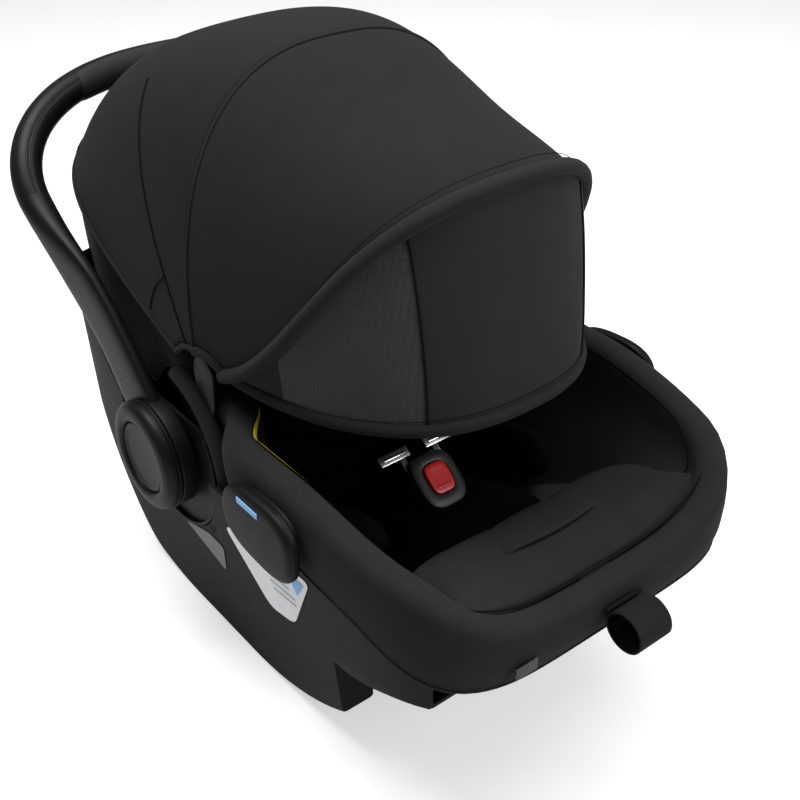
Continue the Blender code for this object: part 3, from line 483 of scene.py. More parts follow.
def close_up(bm):
    """Caps every open edge loop and turns the faces outward."""
    open_edges = [edge for edge in bm.edges if edge.is_boundary]
    if open_edges:
        bmesh.ops.holes_fill(bm, edges=open_edges, sides=0)
    bmesh.ops.recalc_face_normals(bm, faces=bm.faces)
    return bm


def face_out(bm, inside):
    """Turns an open sheet's faces away from a point on its hollow side."""
    bmesh.ops.recalc_face_normals(bm, faces=bm.faces)
    facing = sum(f.normal.dot(f.calc_center_median() - inside) * f.calc_area() for f in bm.faces)
    if facing < 0.0:
        bmesh.ops.reverse_faces(bm, faces=bm.faces)
    return bm


def piece(name, bm, mats, body, replaces=(), angle=40.0):
    """Puts a finished mesh in the scene, riding on its body."""
    mesh = bpy.data.meshes.new(name)
    bm.to_mesh(mesh)
    bm.free()
    for mat in mats if isinstance(mats, (list, tuple)) else [mats]:
        mesh.materials.append(mat)
    mesh.shade_smooth()
    mesh.set_sharp_from_angle(angle=math.radians(angle))
    obj = bpy.data.objects.new(name, mesh)
    bpy.context.scene.collection.objects.link(obj)
    if body:
        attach(obj, body)
    if replaces:
        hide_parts(*replaces)
    return obj


def solidify(obj, thickness, outward=False):
    wall = obj.modifiers.new("Wall", "SOLIDIFY")
    wall.thickness = thickness
    wall.offset = 1.0 if outward else -1.0
    apply_modifiers(obj)
    return obj


def apply_modifiers(obj):
    """Makes the evaluated mesh the piece's own mesh."""
    graph = bpy.context.evaluated_depsgraph_get()
    graph.update()
    baked = bpy.data.meshes.new_from_object(obj.evaluated_get(graph))
    old = obj.data
    obj.modifiers.clear()
    obj.data = baked
    bpy.data.meshes.remove(old)
    return obj


def oval(u, half_a, half_b, power=1.0):
    """A point of a rounded rectangle; a power below 1 squares its corners."""
    c = math.cos(TAU * u)
    s = math.sin(TAU * u)
    a = half_a * math.copysign(abs(c) ** power, c)
    b = half_b * math.copysign(abs(s) ** power, s)
    return a, b


def tube(path, radius, steps, sides=8, squash=1.0, closed=False):
    """A round or flattened strip swept along path(v), which gives a point."""

    def frame_at(v):
        step = 0.5 / steps
        a = path((v - step) % 1.0 if closed else max(0.0, v - step))
        b = path((v + step) % 1.0 if closed else min(1.0, v + step))
        forward = (b - a).normalized()
        side = forward.cross(Vector((0.0, 0.0, 1.0)))
        if side.length < 1e-3:
            side = Vector((1.0, 0.0, 0.0))
        side.normalize()
        return side, side.cross(forward)

    def shape(u, v):
        side, rise = frame_at(v)
        a, b = oval(u, radius, radius * squash)
        return path(v % 1.0 if closed else v) + side * a + rise * b

    bm = sheet(sides, steps, shape)
    if closed:
        bmesh.ops.remove_doubles(bm, verts=bm.verts, dist=1e-5)
    return close_up(bm)


def spun(profile, centre, segments=96):
    """A solid turned about a line along X through centre; the profile lists (x, radius)."""
    bm = bmesh.new()
    verts = [bm.verts.new((x, centre.y + r, centre.z)) for x, r in profile]
    edges = [bm.edges.new(pair) for pair in zip(verts, verts[1:])]
    bmesh.ops.spin(
        bm,
        geom=verts + edges,
        cent=centre,
        axis=(1.0, 0.0, 0.0),
        angle=TAU,
        steps=segments,
        use_merge=True,
    )
    bmesh.ops.remove_doubles(bm, verts=bm.verts, dist=1e-6)
    return close_up(bm)


def rounded(points, radius, steps=4):
    """Rounds the inner corners of an open profile."""
    out = [points[0]]
    for before, here, after in zip(points, points[1:], points[2:]):
        b = Vector(before) - Vector(here)
        a = Vector(after) - Vector(here)
        cut = min(radius, b.length * 0.45, a.length * 0.45)
        start = Vector(here) + b.normalized() * cut
        end = Vector(here) + a.normalized() * cut
        for i in range(steps + 1):
            t = i / steps
            one = start.lerp(Vector(here), t)
            two = Vector(here).lerp(end, t)
            out.append(tuple(one.lerp(two, t)))
    out.append(points[-1])
    return out


def box(low, high, bevel=0.0, segments=3):
    bm = bmesh.new()
    bmesh.ops.create_cube(bm, size=1.0)
    low = Vector(low)
    high = Vector(high)
    bmesh.ops.scale(bm, verts=bm.verts, vec=high - low)
    bmesh.ops.translate(bm, verts=bm.verts, vec=(low + high) / 2.0)
    if bevel:
        bmesh.ops.bevel(
            bm,
            geom=list(bm.edges),
            offset=bevel,
            segments=segments,
            profile=0.5,
            affect="EDGES",
            material=-1,
        )
    return bm


def span(side, inner, outer):
    """The low and high x between two distances from the middle, on one side."""
    return sorted((side * inner, side * outer))


def tilt(bm, degrees, pivot):
    turn = Matrix.Rotation(math.radians(degrees), 3, "X")
    bmesh.ops.rotate(bm, verts=bm.verts, cent=Vector(pivot), matrix=turn)
    return bm


def join(first, *others):
    """Adds the other meshes to the first one."""
    for other in others:
        mesh = bpy.data.meshes.new("part")
        other.to_mesh(mesh)
        other.free()
        first.from_mesh(mesh)
        bpy.data.meshes.remove(mesh)
    return first


def cut(obj, cutter, operation="DIFFERENCE"):
    """Cuts the piece with a closed helper mesh, or joins the helper to it."""
    mesh = bpy.data.meshes.new("cutter")
    close_up(cutter)
    cutter.to_mesh(mesh)
    cutter.free()
    tool = bpy.data.objects.new("cutter", mesh)
    bpy.context.scene.collection.objects.link(tool)
    modifier = obj.modifiers.new("Cut", "BOOLEAN")
    modifier.operation = operation
    modifier.solver = "EXACT"
    modifier.object = tool
    apply_modifiers(obj)
    bpy.data.objects.remove(tool)
    return obj


def rod(start, end, radius, segments=48):
    start = Vector(start)
    end = Vector(end)
    bm = bmesh.new()
    bmesh.ops.create_cone(
        bm,
        cap_ends=True,
        segments=segments,
        radius1=radius,
        radius2=radius,
        depth=(end - start).length,
    )
    turn = (end - start).to_track_quat("Z", "Y").to_matrix()
    bmesh.ops.rotate(bm, verts=bm.verts, matrix=turn)
    bmesh.ops.translate(bm, verts=bm.verts, vec=(start + end) / 2.0)
    return bm


def stitches(path, count, start, end, length=0.0024, radius=0.00035):
    """Short thread dashes along path(v)."""
    made = []
    for index in range(count):
        v = start + (end - start) * (index + 0.5) / count
        step = 0.4 * (end - start) / count
        a = path(v - step)
        b = path(v + step)
        middle = (a + b) / 2.0
        way = (b - a).normalized() * min(length, (b - a).length) / 2.0
        made.append(rod(middle - way, middle + way, radius, 5))
    return join(*made)


def puff(obj, cap, voxel=0.006):
    """Inflates a padded piece by cloth pressure, and limits how far each point moves."""
    remesh = obj.modifiers.new("Remesh", "REMESH")
    remesh.mode = "VOXEL"
    remesh.voxel_size = voxel
    apply_modifiers(obj)
    before = [v.co.copy() for v in obj.data.vertices]
    cloth = obj.modifiers.new("Cloth", "CLOTH")
    cloth.settings.use_pressure = True
    cloth.settings.uniform_pressure_force = PUFF_PRESSURE
    cloth.settings.effector_weights.gravity = 0.0
    cloth.settings.quality = 3
    scene = bpy.context.scene
    for number in range(1, PUFF_FRAMES + 1):
        scene.frame_set(number)
    apply_modifiers(obj)
    scene.frame_set(1)
    for vert, old in zip(obj.data.vertices, before):
        move = vert.co - old
        if move.length > cap:
            vert.co = old + move.normalized() * cap
    finer = obj.modifiers.new("Finer", "SUBSURF")
    finer.levels = 1
    finer.render_levels = 1
    apply_modifiers(obj)
    obj.data.shade_smooth()
    return obj


# ---------------------------------------------------------------- shell profile


def rim_z(y):
    foot = FOOT_RIM_Z + (MID_RIM_Z - FOOT_RIM_Z) * smooth(y, SHELL_FRONT_Y, -0.150)
    return foot + (HEAD_RIM_Z - MID_RIM_Z) * smooth(y, -0.020, 0.345)


def front_sag(x, y):
    """How far the padded rim dips across the foot end."""
    across = max(0.0, 1.0 - (abs(x) / RIM_DIP_HALF_WIDTH) ** 3.2)
    return RIM_DIP * (1.0 - smooth(y, -0.350, -0.285)) * across


def half_width(y):
    width = HALF_WIDTH + (HEAD_HALF_WIDTH - HALF_WIDTH) * smooth(y, 0.080, 0.260)
    beside_hub = 1.0 - smooth(abs(y - HUB.y), 0.088, 0.150)
    return width + (HUB_HALF_WIDTH - width) * beside_hub


def floor_z(y):
    if y < FLOOR_LOW_Y:
        return FLOOR_LOW_Z + FLOOR_FOOT_RISE * ((FLOOR_LOW_Y - y) / 0.35) ** 1.3
    return FLOOR_LOW_Z + FLOOR_HEAD_RISE * ((y - FLOOR_LOW_Y) / 0.32) ** 1.3


def inside_rim(x, y):
    power = HEAD_CORNER_POWER if y > SHELL_MIDDLE_Y else FOOT_CORNER_POWER
    along = abs(y - SHELL_MIDDLE_Y) / SHELL_HALF_LENGTH
    return (abs(x) / half_width(y)) ** power + along ** power < 1.0


@functools.lru_cache(maxsize=None)
def rim_reach(turn):
    """The plan point where the rim lies, found by halving along one direction."""
    way = Vector((math.cos(TAU * turn), 1.35 * math.sin(TAU * turn)))
    way.normalize()
    low = 0.05
    high = 0.60
    for _ in range(30):
        reach = (low + high) / 2.0
        if inside_rim(way.x * reach, SHELL_MIDDLE_Y + way.y * reach):
            low = reach
        else:
            high = reach
    return Vector((way.x * low, SHELL_MIDDLE_Y + way.y * low, 0.0))


@functools.lru_cache(maxsize=None)
def rim_path(u):
    """A point of the rim's plan, with the outward direction there."""
    before = rim_reach(round(u - 0.006, 6))
    after = rim_reach(round(u + 0.006, 6))
    outward = Vector((after.y - before.y, before.x - after.x, 0.0)).normalized()
    return rim_reach(round(u, 6)), outward


def bowl(u, level, inset, steep=0.9):
    """The bucket's inner surface: level 0 is the rim, level 1 the middle of the floor."""
    place, outward = rim_path(round(u, 6))
    spread = math.cos(level * math.pi / 2.0) ** steep
    sink = math.sin(level * math.pi / 2.0) ** 0.7
    flat = (place - outward * inset) * spread
    y = flat.y + FLOOR_LOW_Y * (1.0 - spread)
    top = rim_z(y) - front_sag(flat.x, flat.y)
    return Vector((flat.x, y, top + (floor_z(y) + inset - top) * sink))


def panel_bottom(y):
    """Height of the side panel's lower edge: level in front, then the curved runner."""
    reach = max(0.0, abs(y - RUNNER_MID_Y) - RUNNER_FLAT_HALF)
    runner = RUNNER_CURVE * reach * reach
    if y < RUNNER_FRONT_Y:
        return PANEL_FRONT_Z + 0.035 * smooth(y, RUNNER_FRONT_Y, -0.34)
    if y < RUNNER_FRONT_Y + 0.001:
        return PANEL_FRONT_Z
    if y > PANEL_LIFT_Y:
        return runner + 0.150 * smooth(y, PANEL_LIFT_Y, 0.310)
    return runner


def flank_x(y, z):
    """Outer face of the side panel."""
    top_x = half_width(y) if abs(y - HUB.y) > 0.20 else HALF_WIDTH
    place = (y - SHELL_MIDDLE_Y) / SHELL_HALF_LENGTH
    power = HEAD_CORNER_POWER if place > 0.0 else FOOT_CORNER_POWER
    top_x = top_x * (1.0 - min(0.98, abs(place)) ** power) ** (1.0 / power) + WALL + 0.0055
    lean = (top_x - RUNNER_OUTER_X) * (0.245 - z) / 0.245
    return top_x - max(lean, -0.004)


# ---------------------------------------------------------------- shell


def make_bucket(mats):
    """The bowl, and the foam that lines it from a little below the rim."""
    inside = Vector((0.0, FLOOR_LOW_Y, 0.30))
    bm = face_out(sheet(120, 24, lambda u, v: bowl(u, v, 0.0)), inside)
    obj = piece("bucket_shell", bm, mats["shell"], "seat_shell", ["inner_bucket"])
    solidify(obj, WALL, outward=True)

    def foam(u, v):
        return bowl(u, FOAM_TOP + (1.0 - FOAM_TOP) * v, FOAM_GAP)

    bm = face_out(sheet(120, 20, foam), inside)
    obj = piece("foam_lining", bm, mats["foam"], "seat_shell", ["foam_liner"])
    solidify(obj, FOAM_THICKNESS)


def side_section(y):
    """Closed (x, z) outline of the side panel at one station, with its inner web."""
    low = panel_bottom(y)
    high = rim_z(y) - 0.060 - 0.024 * (1.0 - smooth(y, -0.330, -0.240))
    low = min(low, high - 0.012)
    web = max(low + 0.008, min(floor_z(y) - 0.020, high - 0.010))
    outer_low = flank_x(y, low)
    inner = min(RUNNER_INNER_X, outer_low - 0.012)

    def face(t):
        z = low + (high - low) * t
        return flank_x(y, z), z

    outer = [face(t) for t in (1.0, 0.8, 0.6, 0.4, 0.2, 0.05)]
    heel = [
        (outer_low - 0.0012, low + 0.0012),
        (outer_low - 0.0050, low),
        (inner + 0.0030, low),
        (inner, low + 0.0020),
        (inner, web),
        (inner + WALL, web),
        (inner + WALL, low + WALL),
        (outer_low - WALL, low + WALL),
    ]
    back = [(x - WALL, z) for x, z in map(face, (0.25, 0.5, 0.75, 1.0))]
    return outer + heel + back


def make_side_panel(name, side, mats):
    """Outer skin of one side, with the runner along its lower edge."""
    front = RUNNER_FRONT_Y - 0.0006 - PANEL_FRONT_Y
    rear = PANEL_BACK_Y - RUNNER_FRONT_Y - 0.0010
    stations = [PANEL_FRONT_Y + front * i / 10 for i in range(11)]
    stations += [RUNNER_FRONT_Y + 0.0010 + rear * i / 64 for i in range(65)]
    corners = len(side_section(0.0))

    def shape(u, v):
        y = stations[round(v * (len(stations) - 1))]
        x, z = side_section(y)[round(u * corners) % corners]
        return Vector((side * x, y, z))

    bm = close_up(sheet(corners, len(stations) - 1, shape))
    obj = piece(
        "shell_side_" + name,
        bm,
        mats["shell"],
        "seat_shell",
        ["side_panel_" + name],
        30.0,
    )
    low_x, high_x = span(side, 0.175, 0.240)
    arm_way = box((low_x, HUB.y, HUB.z - 0.044), (high_x, HUB.y + 0.260, HUB.z + 0.060))
    cut(obj, tilt(arm_way, HANDLE_REST_DEG, HUB))
    start = HUB + Vector((side * 0.170, 0.0, 0.0))
    end = HUB + Vector((side * 0.240, 0.0, 0.0))
    cut(obj, rod(start, end, RECESS_RADIUS + 0.0015, 72))
    low_x, high_x = span(side, 0.1393, 0.1652)
    toe = join(
        box((low_x, -0.1957, 0.0672), (high_x, -0.1896, 0.1301), 0.0012),
        box((low_x + 0.006, -0.1990, 0.094), (high_x - 0.006, -0.1952, 0.112), 0.0012),
    )
    piece("runner_toe_" + name, toe, mats["hub"], "seat_shell")


def make_belly(mats):
    """Ribbed skin that closes the underside between the runners."""

    def shape(u, v):
        y = -0.185 + 0.400 * v
        x = (2.0 * u - 1.0) * (RUNNER_INNER_X - 0.002)
        rib = 0.0012 * (1.0 if math.sin(x * 330.0) > 0.7 else 0.0)
        return Vector((x, y, floor_z(y) - 0.010 - rib))

    bm = face_out(sheet(60, 40, shape), Vector((0.0, FLOOR_LOW_Y, 0.30)))
    obj = piece("belly_skin", bm, mats["shell"], "seat_shell", ["belly_pan"], 30.0)
    solidify(obj, 0.0035, outward=True)


def make_recess(name, side, mats):
    """Round pocket behind the handle's hub."""
    _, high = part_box("hub_recess_" + name)
    inner_radius = RECESS_RADIUS - RECESS_WALL
    plate_x = RECESS_FLOOR_X + 0.004
    axle_x = ARM_INNER_X - 0.001
    profile = rounded(
        [
            (side * RECESS_FLOOR_X, 0.0005),
            (side * RECESS_FLOOR_X, RECESS_RADIUS),
            (side * RECESS_EDGE_X, RECESS_RADIUS),
            (side * RECESS_EDGE_X, inner_radius),
            (side * plate_x, inner_radius),
            (side * plate_x, 0.014),
            (side * axle_x, 0.0115),
            (side * axle_x, 0.0005),
        ],
        0.0008,
        2,
    )
    obj = piece(
        "hub_pocket_" + name,
        spun(profile, HUB),
        mats["hub"],
        "seat_shell",
        ["hub_recess_" + name],
    )
    low_x, high_x = span(side, 0.178, 0.200)
    cut(obj, box((low_x, -0.10, high.z), (high_x, 0.23, high.z + 0.09)))


def make_hub_collar(name, side, mats):
    """Padded edge of the cover round the front of the hub."""

    def path(v):
        turn = math.radians(-44.0 + 124.0 * v)
        y = HUB.y - COLLAR_REACH * math.cos(turn)
        return Vector((side * 0.1800, y, HUB.z + COLLAR_REACH * math.sin(turn)))

    bm = tube(path, COLLAR_RADIUS, 70, 16)
    obj = piece("hub_collar_" + name, bm, mats["seat"], "seat_shell")


def make_belt_guide(name, side, mats):
    """Rounded pod over the belt slot, with its foot on the rim."""

    def pod(stages):
        def shape(u, v):
            x, spread, crop = stages[round(v * (len(stages) - 1))]
            half_a = GUIDE_HALF_LENGTH * spread - crop
            half_b = GUIDE_HALF_HEIGHT * spread - crop
            a, b = oval(u, half_a, half_b, GUIDE_CORNER_POWER)
            return Vector((side * x, GUIDE_Y + a, GUIDE_Z + b * (1.0 - 0.10 * a / 0.056)))

        return close_up(sheet(72, len(stages) - 1, shape))

    cap = [(0.2125, 0.0, 0.0), (0.2125, 0.90, 0.0), (0.2130, 0.97, 0.0), (0.2150, 1.0, 0.0)]
    for index in range(9):
        turn = math.pi / 2.0 * index / 8.0
        crop = 0.009 * (1.0 - math.cos(turn))
        cap.append((0.2190 + 0.0058 * math.sin(turn), 1.0, crop))
    cap += [(0.2256, 0.55, 0.004), (0.2258, 0.0, 0.0)]
    rim = [(0.2080, 0.0, 0.0), (0.2080, 0.84, 0.0), (0.2085, 0.87, 0.0), (0.2122, 0.86, 0.0)]
    rim += [(0.2128, 0.80, 0.0), (0.2128, 0.0, 0.0)]
    bm = join(pod(cap), pod(rim))
    nodes = ["belt_guide_" + name]
    piece("belt_pod_" + name, bm, mats["guide"], "seat_shell", nodes, 30.0)
    strip = box((-0.016, -0.0030, -0.0005), (0.016, 0.0030, 0.0006), 0.0005, 2)
    for vert in strip.verts:
        along, up, out = vert.co
        y = GUIDE_Y + 0.006 + along
        vert.co = Vector((side * (0.2252 + out), y, GUIDE_Z + 0.0240 + up))
    bmesh.ops.recalc_face_normals(strip, faces=strip.faces)
    nodes = ["guide_strip_" + name]
    piece("guide_mark_" + name, strip, mats["blue"], "seat_shell", nodes)


# ---------------------------------------------------------------- padded liner


def seam_drop(place):
    """How far below the roll's crest its inner seam runs: deepest across the foot."""
    front = 1.0 - smooth(place.y, -0.345, -0.270)
    middle = 1.0 - smooth(abs(place.x), 0.060, 0.165)
    return 0.009 + front * (0.022 + 0.004 * middle)


def liner_point(u, v):
    """The cover's surface: skirt, roll, inner wall, then the floor at v = 1."""
    place, outward = rim_path(round(u, 6))
    top = rim_z(place.y)
    foot = 1.0 - smooth(place.y, -0.330, -0.240)
    hub = 1.0 - smooth(abs(place.y - HUB.y), 0.090, 0.150)
    leg = 0.056 + 0.022 * foot - 0.030 * hub + 0.070 * smooth(place.y, 0.085, 0.140)
    belly = 0.0035 * foot
    sag = front_sag(place.x, place.y)
    if v < ROLL_START:
        t = v / ROLL_START
        n = ROLL_OUT - 0.0060 * (1.0 - t) ** 2 + belly * math.sin(math.pi * t) * 0.4
        return Vector((*(place + outward * n).xy, top - leg * (1.0 - t) - sag * t))
    if v < ROLL_END:
        turn = math.pi * (v - ROLL_START) / (ROLL_END - ROLL_START)
        c = math.cos(turn)
        s = math.sin(turn)
        mid = (ROLL_OUT - ROLL_IN) / 2.0
        half = (ROLL_OUT + ROLL_IN) / 2.0
        n = mid + half * math.copysign(abs(c) ** 0.85, c)
        return Vector((*(place + outward * n).xy, top - sag + ROLL_TALL * s ** 0.80))
    level = (v - ROLL_END) / (1.0 - ROLL_END)
    wall = math.sin(math.pi * min(1.0, level / 0.62)) ** 1.2
    side = smooth(abs(place.x), 0.06, 0.14)
    inset = ROLL_IN + 0.011 * wall * side
    steep = 0.9 - 0.45 * (1.0 - smooth(place.y, -0.30, -0.16)) * (1.0 - 0.4 * side)
    return bowl(u, level, inset, steep)


def make_liner(mats):
    bm = face_out(sheet(176, 84, liner_point), Vector((0.0, 0.0, 2.0)))
    bmesh.ops.reverse_faces(bm, faces=bm.faces)
    obj = piece(
        "padded_cover",
        bm,
        mats["seat"],
        "seat_shell",
        ["rim_roll", "side_pad_right", "side_pad_left"],
        75.0,
    )
    solidify(obj, 0.0025)

    def crest_seam(turn):
        place, _ = rim_path(round(turn % 1.0, 6))
        drop = seam_drop(place)
        low = ROLL_CREST
        high = 0.80
        crest = liner_point(turn % 1.0, ROLL_CREST).z
        for _ in range(22):
            v = (low + high) / 2.0
            if crest - liner_point(turn % 1.0, v).z < drop:
                low = v
            else:
                high = v
        return liner_point(turn % 1.0, low) + Vector((0.0, 0.0, 0.0004))

    rows = 260
    points = [crest_seam(i / rows) for i in range(rows)]
    bm = tube(lambda v: points[round(v * rows) % rows], 0.0010, rows, 6, closed=True)
    piece("crest_piping", bm, mats["thread"], "seat_shell")

    hem = [liner_point(i / rows, 0.012) for i in range(rows)]
    bm = tube(lambda v: hem[round(v * rows) % rows], 0.0016, rows, 8, closed=True)
    piece("skirt_hem", bm, mats["binding"], "seat_shell")


def surface_below(obj):
    """Returns a function that gives the height of the piece's top at (x, y)."""
    polygons = [tuple(p.vertices) for p in obj.data.polygons]
    tree = BVHTree.FromPolygons([v.co for v in obj.data.vertices], polygons)

    def height(x, y):
        hit = tree.ray_cast(Vector((x, y, 1.0)), Vector((0.0, 0.0, -1.0)))[0]
        return hit.z if hit else 0.240

    return height


def pad_mesh(columns, rows, top, bottom):
    """Closed pad between two surfaces over the same plan, both taking a and b from -1 to 1."""
    upper = sheet(columns, rows, lambda u, v: top(2.0 * u - 1.0, 2.0 * v - 1.0))
    lower = sheet(columns, rows, lambda u, v: bottom(2.0 * u - 1.0, 2.0 * v - 1.0))
    bm = join(upper, lower)
    bm.edges.ensure_lookup_table()
    rims = [e for e in bm.edges if e.is_boundary]
    bmesh.ops.bridge_loops(bm, edges=rims)
    bmesh.ops.recalc_face_normals(bm, faces=bm.faces)
    return bm


def seat_edge(a, b):
    """Plan point and rim height of the seat pad; a runs across, b from the back to the front."""
    t = (b + 1.0) / 2.0
    half = SEAT_HALF - 0.006 * t
    corner = abs(a) ** 5.0
    y = SEAT_BACK_Y + (SEAT_FRONT_Y - SEAT_BACK_Y) * t
    y += 0.012 * corner * t - 0.046 * abs(a) ** 7.0 * (1.0 - t)
    z = 0.226 + 0.013 * t + 0.033 * abs(a) ** 3.0 * t ** 1.4 + 0.012 * abs(a) ** 3.0 * (1.0 - t)
    return Vector((a * half, y, z))


def seat_top(a, b):
    edge = seat_edge(a, b)
    crown = (1.0 - a ** 6.0) * (1.0 - b ** 4.0)
    return edge + Vector((0.0, 0.0, 0.011 * crown ** 0.8))


def make_seat(mats):
    def under(a, b):
        edge = seat_edge(a, b)
        return edge + Vector((0.0, 0.0, -0.020 - 0.006 * (1.0 - a ** 4.0)))

    bm = pad_mesh(40, 20, seat_top, under)
    obj = piece("seat_pad", bm, mats["seat"], None, ["seat_cushion"], 80.0)
    puff(obj, 0.004)
    ground = surface_below(obj)
    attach(obj, "seat_shell")

    def rim_line(v):
        reach = 4.0 * v
        if reach < 1.0:
            spot = (-0.995, -1.0 + 2.0 * reach)
        elif reach < 3.0:
            spot = (-0.995 + 1.99 * (reach - 1.0) / 2.0, 1.0)
        else:
            spot = (0.995, 1.0 - 2.0 * (reach - 3.0))
        return seat_edge(*spot) + Vector((0.0, 0.0, 0.0022))

    bm = tube(rim_line, 0.0010, 200, 7)
    piece("seat_piping", bm, mats["thread"], "seat_shell")

    # Flap that covers the harness adjuster: a soft tongue with its free edge at the front.
    def flap(u, v):
        a = 2.0 * u - 1.0
        y = -0.2450 - 0.0440 * v + 0.006 * a * a * v
        x = a * (0.054 + 0.004 * v)
        lift = -0.0010 + 0.0064 * v ** 1.3 * (1.0 - a ** 6)
        return Vector((x, y, ground(x, y) + lift))

    bm = face_out(sheet(30, 16, flap), Vector((0.0, -0.26, 0.0)))
    obj = piece("adjuster_flap", bm, mats["seat"], "seat_shell")
    solidify(obj, 0.0026)


def lying_pad(name, mat, replaces, low_y, high_y, half, tall, body="seat_shell", power=3.0):
    """A crowned pad on the liner."""

    def top(a, b):
        y = low_y + (high_y - low_y) * (b + 1.0) / 2.0
        wide = half(y)
        base = floor_z(y) + tall(y)
        drop = 0.020 * (abs(a) ** power) + 0.010 * abs(b) ** 6.0
        return Vector((a * wide, y, base - drop + 0.010 * abs(a) ** 2 * (1 - abs(a))))

    def bottom(a, b):
        y = low_y + (high_y - low_y) * (b + 1.0) / 2.0
        return Vector((a * half(y) * 0.96, y, floor_z(y) + 0.018 + 0.014 * abs(a) ** 2))

    obj = piece(name, pad_mesh(26, 26, top, bottom), mat, None, replaces, 80.0)
    puff(obj, 0.007)
    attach(obj, body)
    return obj


def make_inner_pads(mats):
    lying_pad(
        "newborn_insert",
        mats["insert"],
        ["infant_insert"],
        -0.212,
        0.040,
        lambda y: 0.098 - 0.012 * smooth(abs(y + 0.08), 0.05, 0.13),
        lambda y: 0.058,
    )
    lying_pad(
        "back_pad",
        mats["insert"],
        ["back_cushion"],
        0.044,
        0.272,
        lambda y: 0.092 - 0.012 * smooth(y, 0.10, 0.27),
        lambda y: 0.060,
    )
    for name, side in SIDES:
        def bolster(v, side=side):
            y = -0.175 + 0.205 * v
            rise = floor_z(y) + 0.072 + 0.010 * math.sin(math.pi * v)
            return Vector((side * (0.104 + 0.010 * math.sin(math.pi * v)), y, rise))

        def shape(u, v, bolster=bolster):
            fat = 0.024 * (1.0 - (2.0 * v - 1.0) ** 6) ** 0.5 + 0.0001
            a, b = oval(u, fat * 0.72, fat * 1.25)
            return bolster(v) + Vector((a, 0.0, b))

        bm = close_up(sheet(24, 30, shape))
        obj = piece("side_bolster_" + name, bm, mats["insert"], "seat_shell", (), 80.0)


def headrest_frame():
    """Where the headrest starts, the way it slides, and the way it faces."""
    slope = math.radians(50.0)
    along = Vector((0.0, math.cos(slope), math.sin(slope)))
    out = Vector((0.0, -math.sin(slope), math.cos(slope)))
    return Vector((0.0, 0.180, floor_z(0.180) + 0.072)), along, out


def make_headrest(mats):
    start, along, out = headrest_frame()

    def slab(half, low, high, stages):
        def shape(u, v):
            spread, rise = stages[round(v * (len(stages) - 1))]
            a, b = oval(u, half * spread, (high - low) / 2.0 * spread, 0.6)
            return start + Vector((a, 0.0, 0.0)) + along * ((low + high) / 2.0 + b) + out * rise

        return close_up(sheet(48, len(stages) - 1, shape))

    stages = [(0.0, 0.0), (0.98, 0.0), (1.0, 0.001), (1.0, 0.003), (0.98, 0.004), (0.0, 0.004)]
    board = slab(0.070, 0.0, 0.115, stages)
    piece("headrest_plate", board, mats["shell"], "headrest", ["headrest_board"])
    stages = [(0.0, 0.0045), (0.6, 0.0045), (0.92, 0.0050), (1.0, 0.0100), (1.0, 0.0160)]
    stages += [(0.95, 0.0215), (0.80, 0.0250), (0.5, 0.0262), (0.0, 0.0250)]
    pad = slab(0.076, 0.002, 0.118, stages)
    obj = piece("headrest_cushion", pad, mats["insert"], None, ["headrest_pad"], 80.0)
    puff(obj, 0.005)
    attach(obj, "headrest")


# ---------------------------------------------------------------- harness


def spline(points):
    """A smooth line through the points, as a function of v from 0 to 1."""
    knots = [Vector(p) for p in points]

    def along(v):
        reach = min(1.0, max(0.0, v)) * (len(knots) - 1)
        index = min(int(reach), len(knots) - 2)
        t = reach - index
        before = knots[max(0, index - 1)]
        start = knots[index]
        end = knots[index + 1]
        after = knots[min(len(knots) - 1, index + 2)]
        return 0.5 * (
            2.0 * start
            + (end - before) * t
            + (2.0 * before - 5.0 * start + 4.0 * end - after) * t * t
            + (3.0 * start - before - 3.0 * end + after) * t * t * t
        )

    return along


def band(path, width, thick, across, steps=60, lift=0.0, crown=0.0):
    """Flat webbing along path(v), with its UV map in metres across and along."""
    across = Vector(across).normalized()
    half = width / 2.0
    edge = thick / 2.0
    corners = [(-half, edge)]
    corners += [(-half + half * i / 5.0, 0.0) for i in range(11) if 0 < i < 10]
    corners += [(half, edge)]
    corners += [(half - half * i / 5.0, thick) for i in range(11) if 0 < i < 10]

    def shape(u, v):
        a = path(max(0.0, v - 0.004))
        b = path(min(1.0, v + 0.004))
        forward = (b - a).normalized()
        rise = forward.cross(across).normalized()
        wide = rise.cross(forward)
        x, z = corners[round(u * len(corners)) % len(corners)]
        bulge = crown * (1.0 - (x / half) ** 2) if z > edge else 0.0
        return path(v) + wide * x + rise * (z + lift + bulge)

    bm = close_up(sheet(len(corners), steps, shape))
    layer = bm.loops.layers.uv.active
    length = sum((path((i + 1) / 40.0) - path(i / 40.0)).length for i in range(40))
    for face in bm.faces:
        for loop in face.loops:
            u, v = loop[layer].uv
            loop[layer].uv = (u * width * 2.0, v * length)
    return bm


